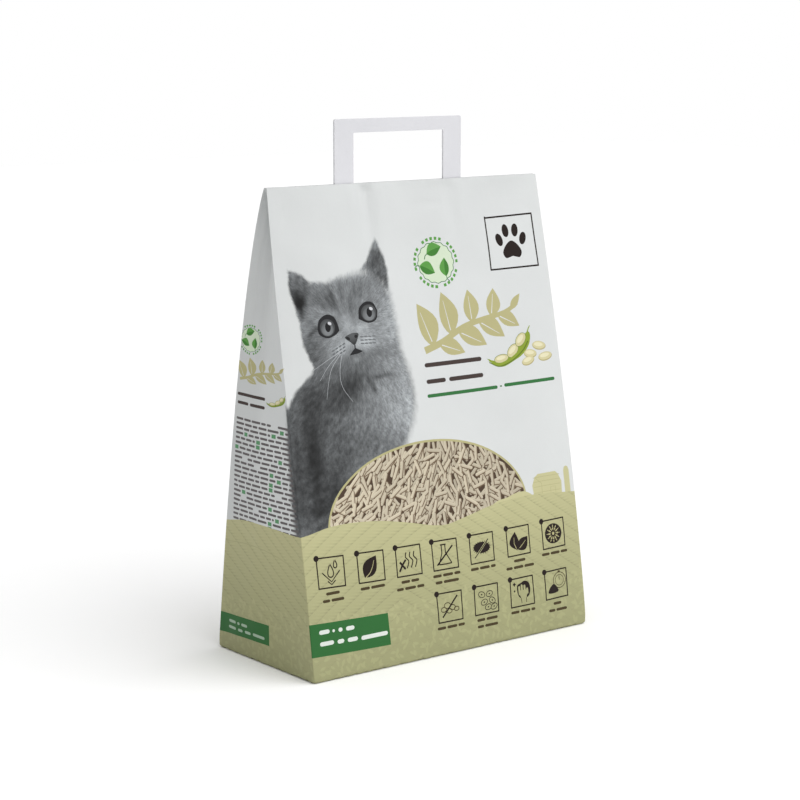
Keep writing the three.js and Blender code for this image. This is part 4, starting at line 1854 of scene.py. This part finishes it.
def paper_material(name, roughness, fibre_size, gloss):
    """Printed paper: ink from the mesh, fine fibres, faint mottling, soft uneven gloss."""
    material = bpy.data.materials.new(name)
    material.use_nodes = True
    graph = Graph(material.node_tree)
    place = graph.add("ShaderNodeTexCoord").outputs["Object"]
    fibres = graph.noise(place, 1000 / fibre_size, 3.0, 0.65)
    cloud = graph.noise(place, 16.0, 2.0)
    tone = graph.math("MULTIPLY", graph.spread(cloud, 0.975, 1.02), graph.spread(fibres, 0.982, 1.012))
    tone = graph.math("MULTIPLY", tone, furrow_tone(graph))
    tone = graph.math("MULTIPLY", tone, hair_tone(graph))
    colour = graph.add("ShaderNodeVectorMath", {"operation": "SCALE"})
    graph.feed(colour.inputs[0], graph.attribute("ink").outputs["Color"])
    graph.feed(colour.inputs["Scale"], tone)
    rough = graph.spread(cloud, roughness - 0.06, roughness + 0.08)
    grain = graph.math("ADD", graph.math("MULTIPLY", fibres, 0.35), graph.noise(place, 140.0, 2.0))
    bump = graph.add("ShaderNodeBump", Strength=0.35, Distance=0.00035, Height=grain)
    shader = graph.add("ShaderNodeBsdfPrincipled", Base_Color=colour.outputs[0],
                       Roughness=rough, Normal=bump.outputs["Normal"])
    shader.inputs["Specular IOR Level"].default_value = gloss
    graph.finish("ShaderNodeOutputMaterial", shader.outputs["BSDF"])
    return material


# ---- Studio ------------------------------------------------------------------------------------

CAMERA_AZIMUTH = -37.956
CAMERA_ELEVATION = 9.76
CAMERA_DISTANCE = 2.1627
CAMERA_TARGET = Vector((-0.00753, 0.0, 0.24343))
CAMERA_LENS = 97.37
KEY_DIRECTION = Vector((0.30, -0.60, 0.80))
KEY_STRENGTH = 1.96
KEY_SOFTNESS = 70
SKY_BASE = 0.18
SKY_TOP = 0.69
FLOOR_SIZE = 14.0
FLOOR_GAP = 0.0004


def make_camera():
    """The camera at the photograph's angle."""
    azimuth, elevation = math.radians(CAMERA_AZIMUTH), math.radians(CAMERA_ELEVATION)
    level = math.cos(elevation)
    back = Vector((math.sin(azimuth) * level, -math.cos(azimuth) * level, math.sin(elevation)))
    data = bpy.data.cameras.new("camera")
    data.sensor_width = 36
    data.lens = CAMERA_LENS
    data.clip_start, data.clip_end = 0.05, 50
    camera = bpy.data.objects.new("camera", data)
    camera.location = CAMERA_TARGET + back * CAMERA_DISTANCE
    camera.rotation_mode = "QUATERNION"
    camera.rotation_quaternion = (-back).to_track_quat("-Z", "Y")
    bpy.context.scene.collection.objects.link(camera)
    bpy.context.scene.camera = camera


def make_floor():
    """A plain pale floor."""
    material = bpy.data.materials.new("studio_floor")
    material.use_nodes = True
    graph = Graph(material.node_tree)
    place = graph.add("ShaderNodeTexCoord").outputs["Object"]
    shade = graph.spread(graph.noise(place, 3.0), 0.96, 0.98)
    colour = graph.add("ShaderNodeCombineXYZ", X=shade, Y=shade, Z=shade)
    shader = graph.add("ShaderNodeBsdfPrincipled", Base_Color=colour.outputs[0], Roughness=0.9)
    shader.inputs["Specular IOR Level"].default_value = 0.1
    graph.finish("ShaderNodeOutputMaterial", shader.outputs["BSDF"])
    half = FLOOR_SIZE / 2
    mesh = bpy.data.meshes.new("studio_floor")
    corners = [(x, y, -FLOOR_GAP) for x, y in rectangle(-half, half, -half, half)]
    mesh.from_pydata(corners, [], [(0, 1, 2, 3)])
    mesh.materials.append(material)
    floor = bpy.data.objects.new("studio_floor", mesh)
    bpy.context.scene.collection.objects.link(floor)


def make_light():
    """A large soft key from the right of the front, and a sky that is brightest overhead."""
    key = bpy.data.lights.new("key", "SUN")
    key.energy = KEY_STRENGTH
    key.angle = math.radians(KEY_SOFTNESS)
    lamp = bpy.data.objects.new("key", key)
    lamp.rotation_mode = "QUATERNION"
    lamp.rotation_quaternion = (-KEY_DIRECTION).to_track_quat("-Z", "Y")
    bpy.context.scene.collection.objects.link(lamp)
    world = bpy.data.worlds.new("studio")
    world.use_nodes = True
    bpy.context.scene.world = world
    graph = Graph(world.node_tree)
    direction = graph.add("ShaderNodeTexCoord").outputs["Generated"]
    up = graph.add("ShaderNodeSeparateXYZ", Vector=direction).outputs["Z"]
    light = graph.math("MULTIPLY_ADD", graph.math("MAXIMUM", up, 0.0), SKY_TOP, SKY_BASE)
    seen_sky = graph.add("ShaderNodeLightPath").outputs["Is Camera Ray"]
    strength = graph.math("MAXIMUM", light, seen_sky)
    background = graph.add("ShaderNodeBackground", Color=(1, 1, 1, 1), Strength=strength)
    graph.finish("ShaderNodeOutputWorld", background.outputs["Background"])
    bpy.context.scene.view_settings.view_transform = "Standard"


# ---- The scene ---------------------------------------------------------------------------------

make_camera()
printed_paper = paper_material("printed_paper", 0.55, 0.9, 0.25)
handle_paper = paper_material("handle_paper", 0.6, 1.3, 0.3)

sack = build_sack(printed_paper)
base_folds = build_base_folds(printed_paper)
handle = build_handle(handle_paper)
for piece in (sack, base_folds, handle):
    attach(piece, "root")
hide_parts("sack")
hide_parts("handle")

make_floor()
make_light()
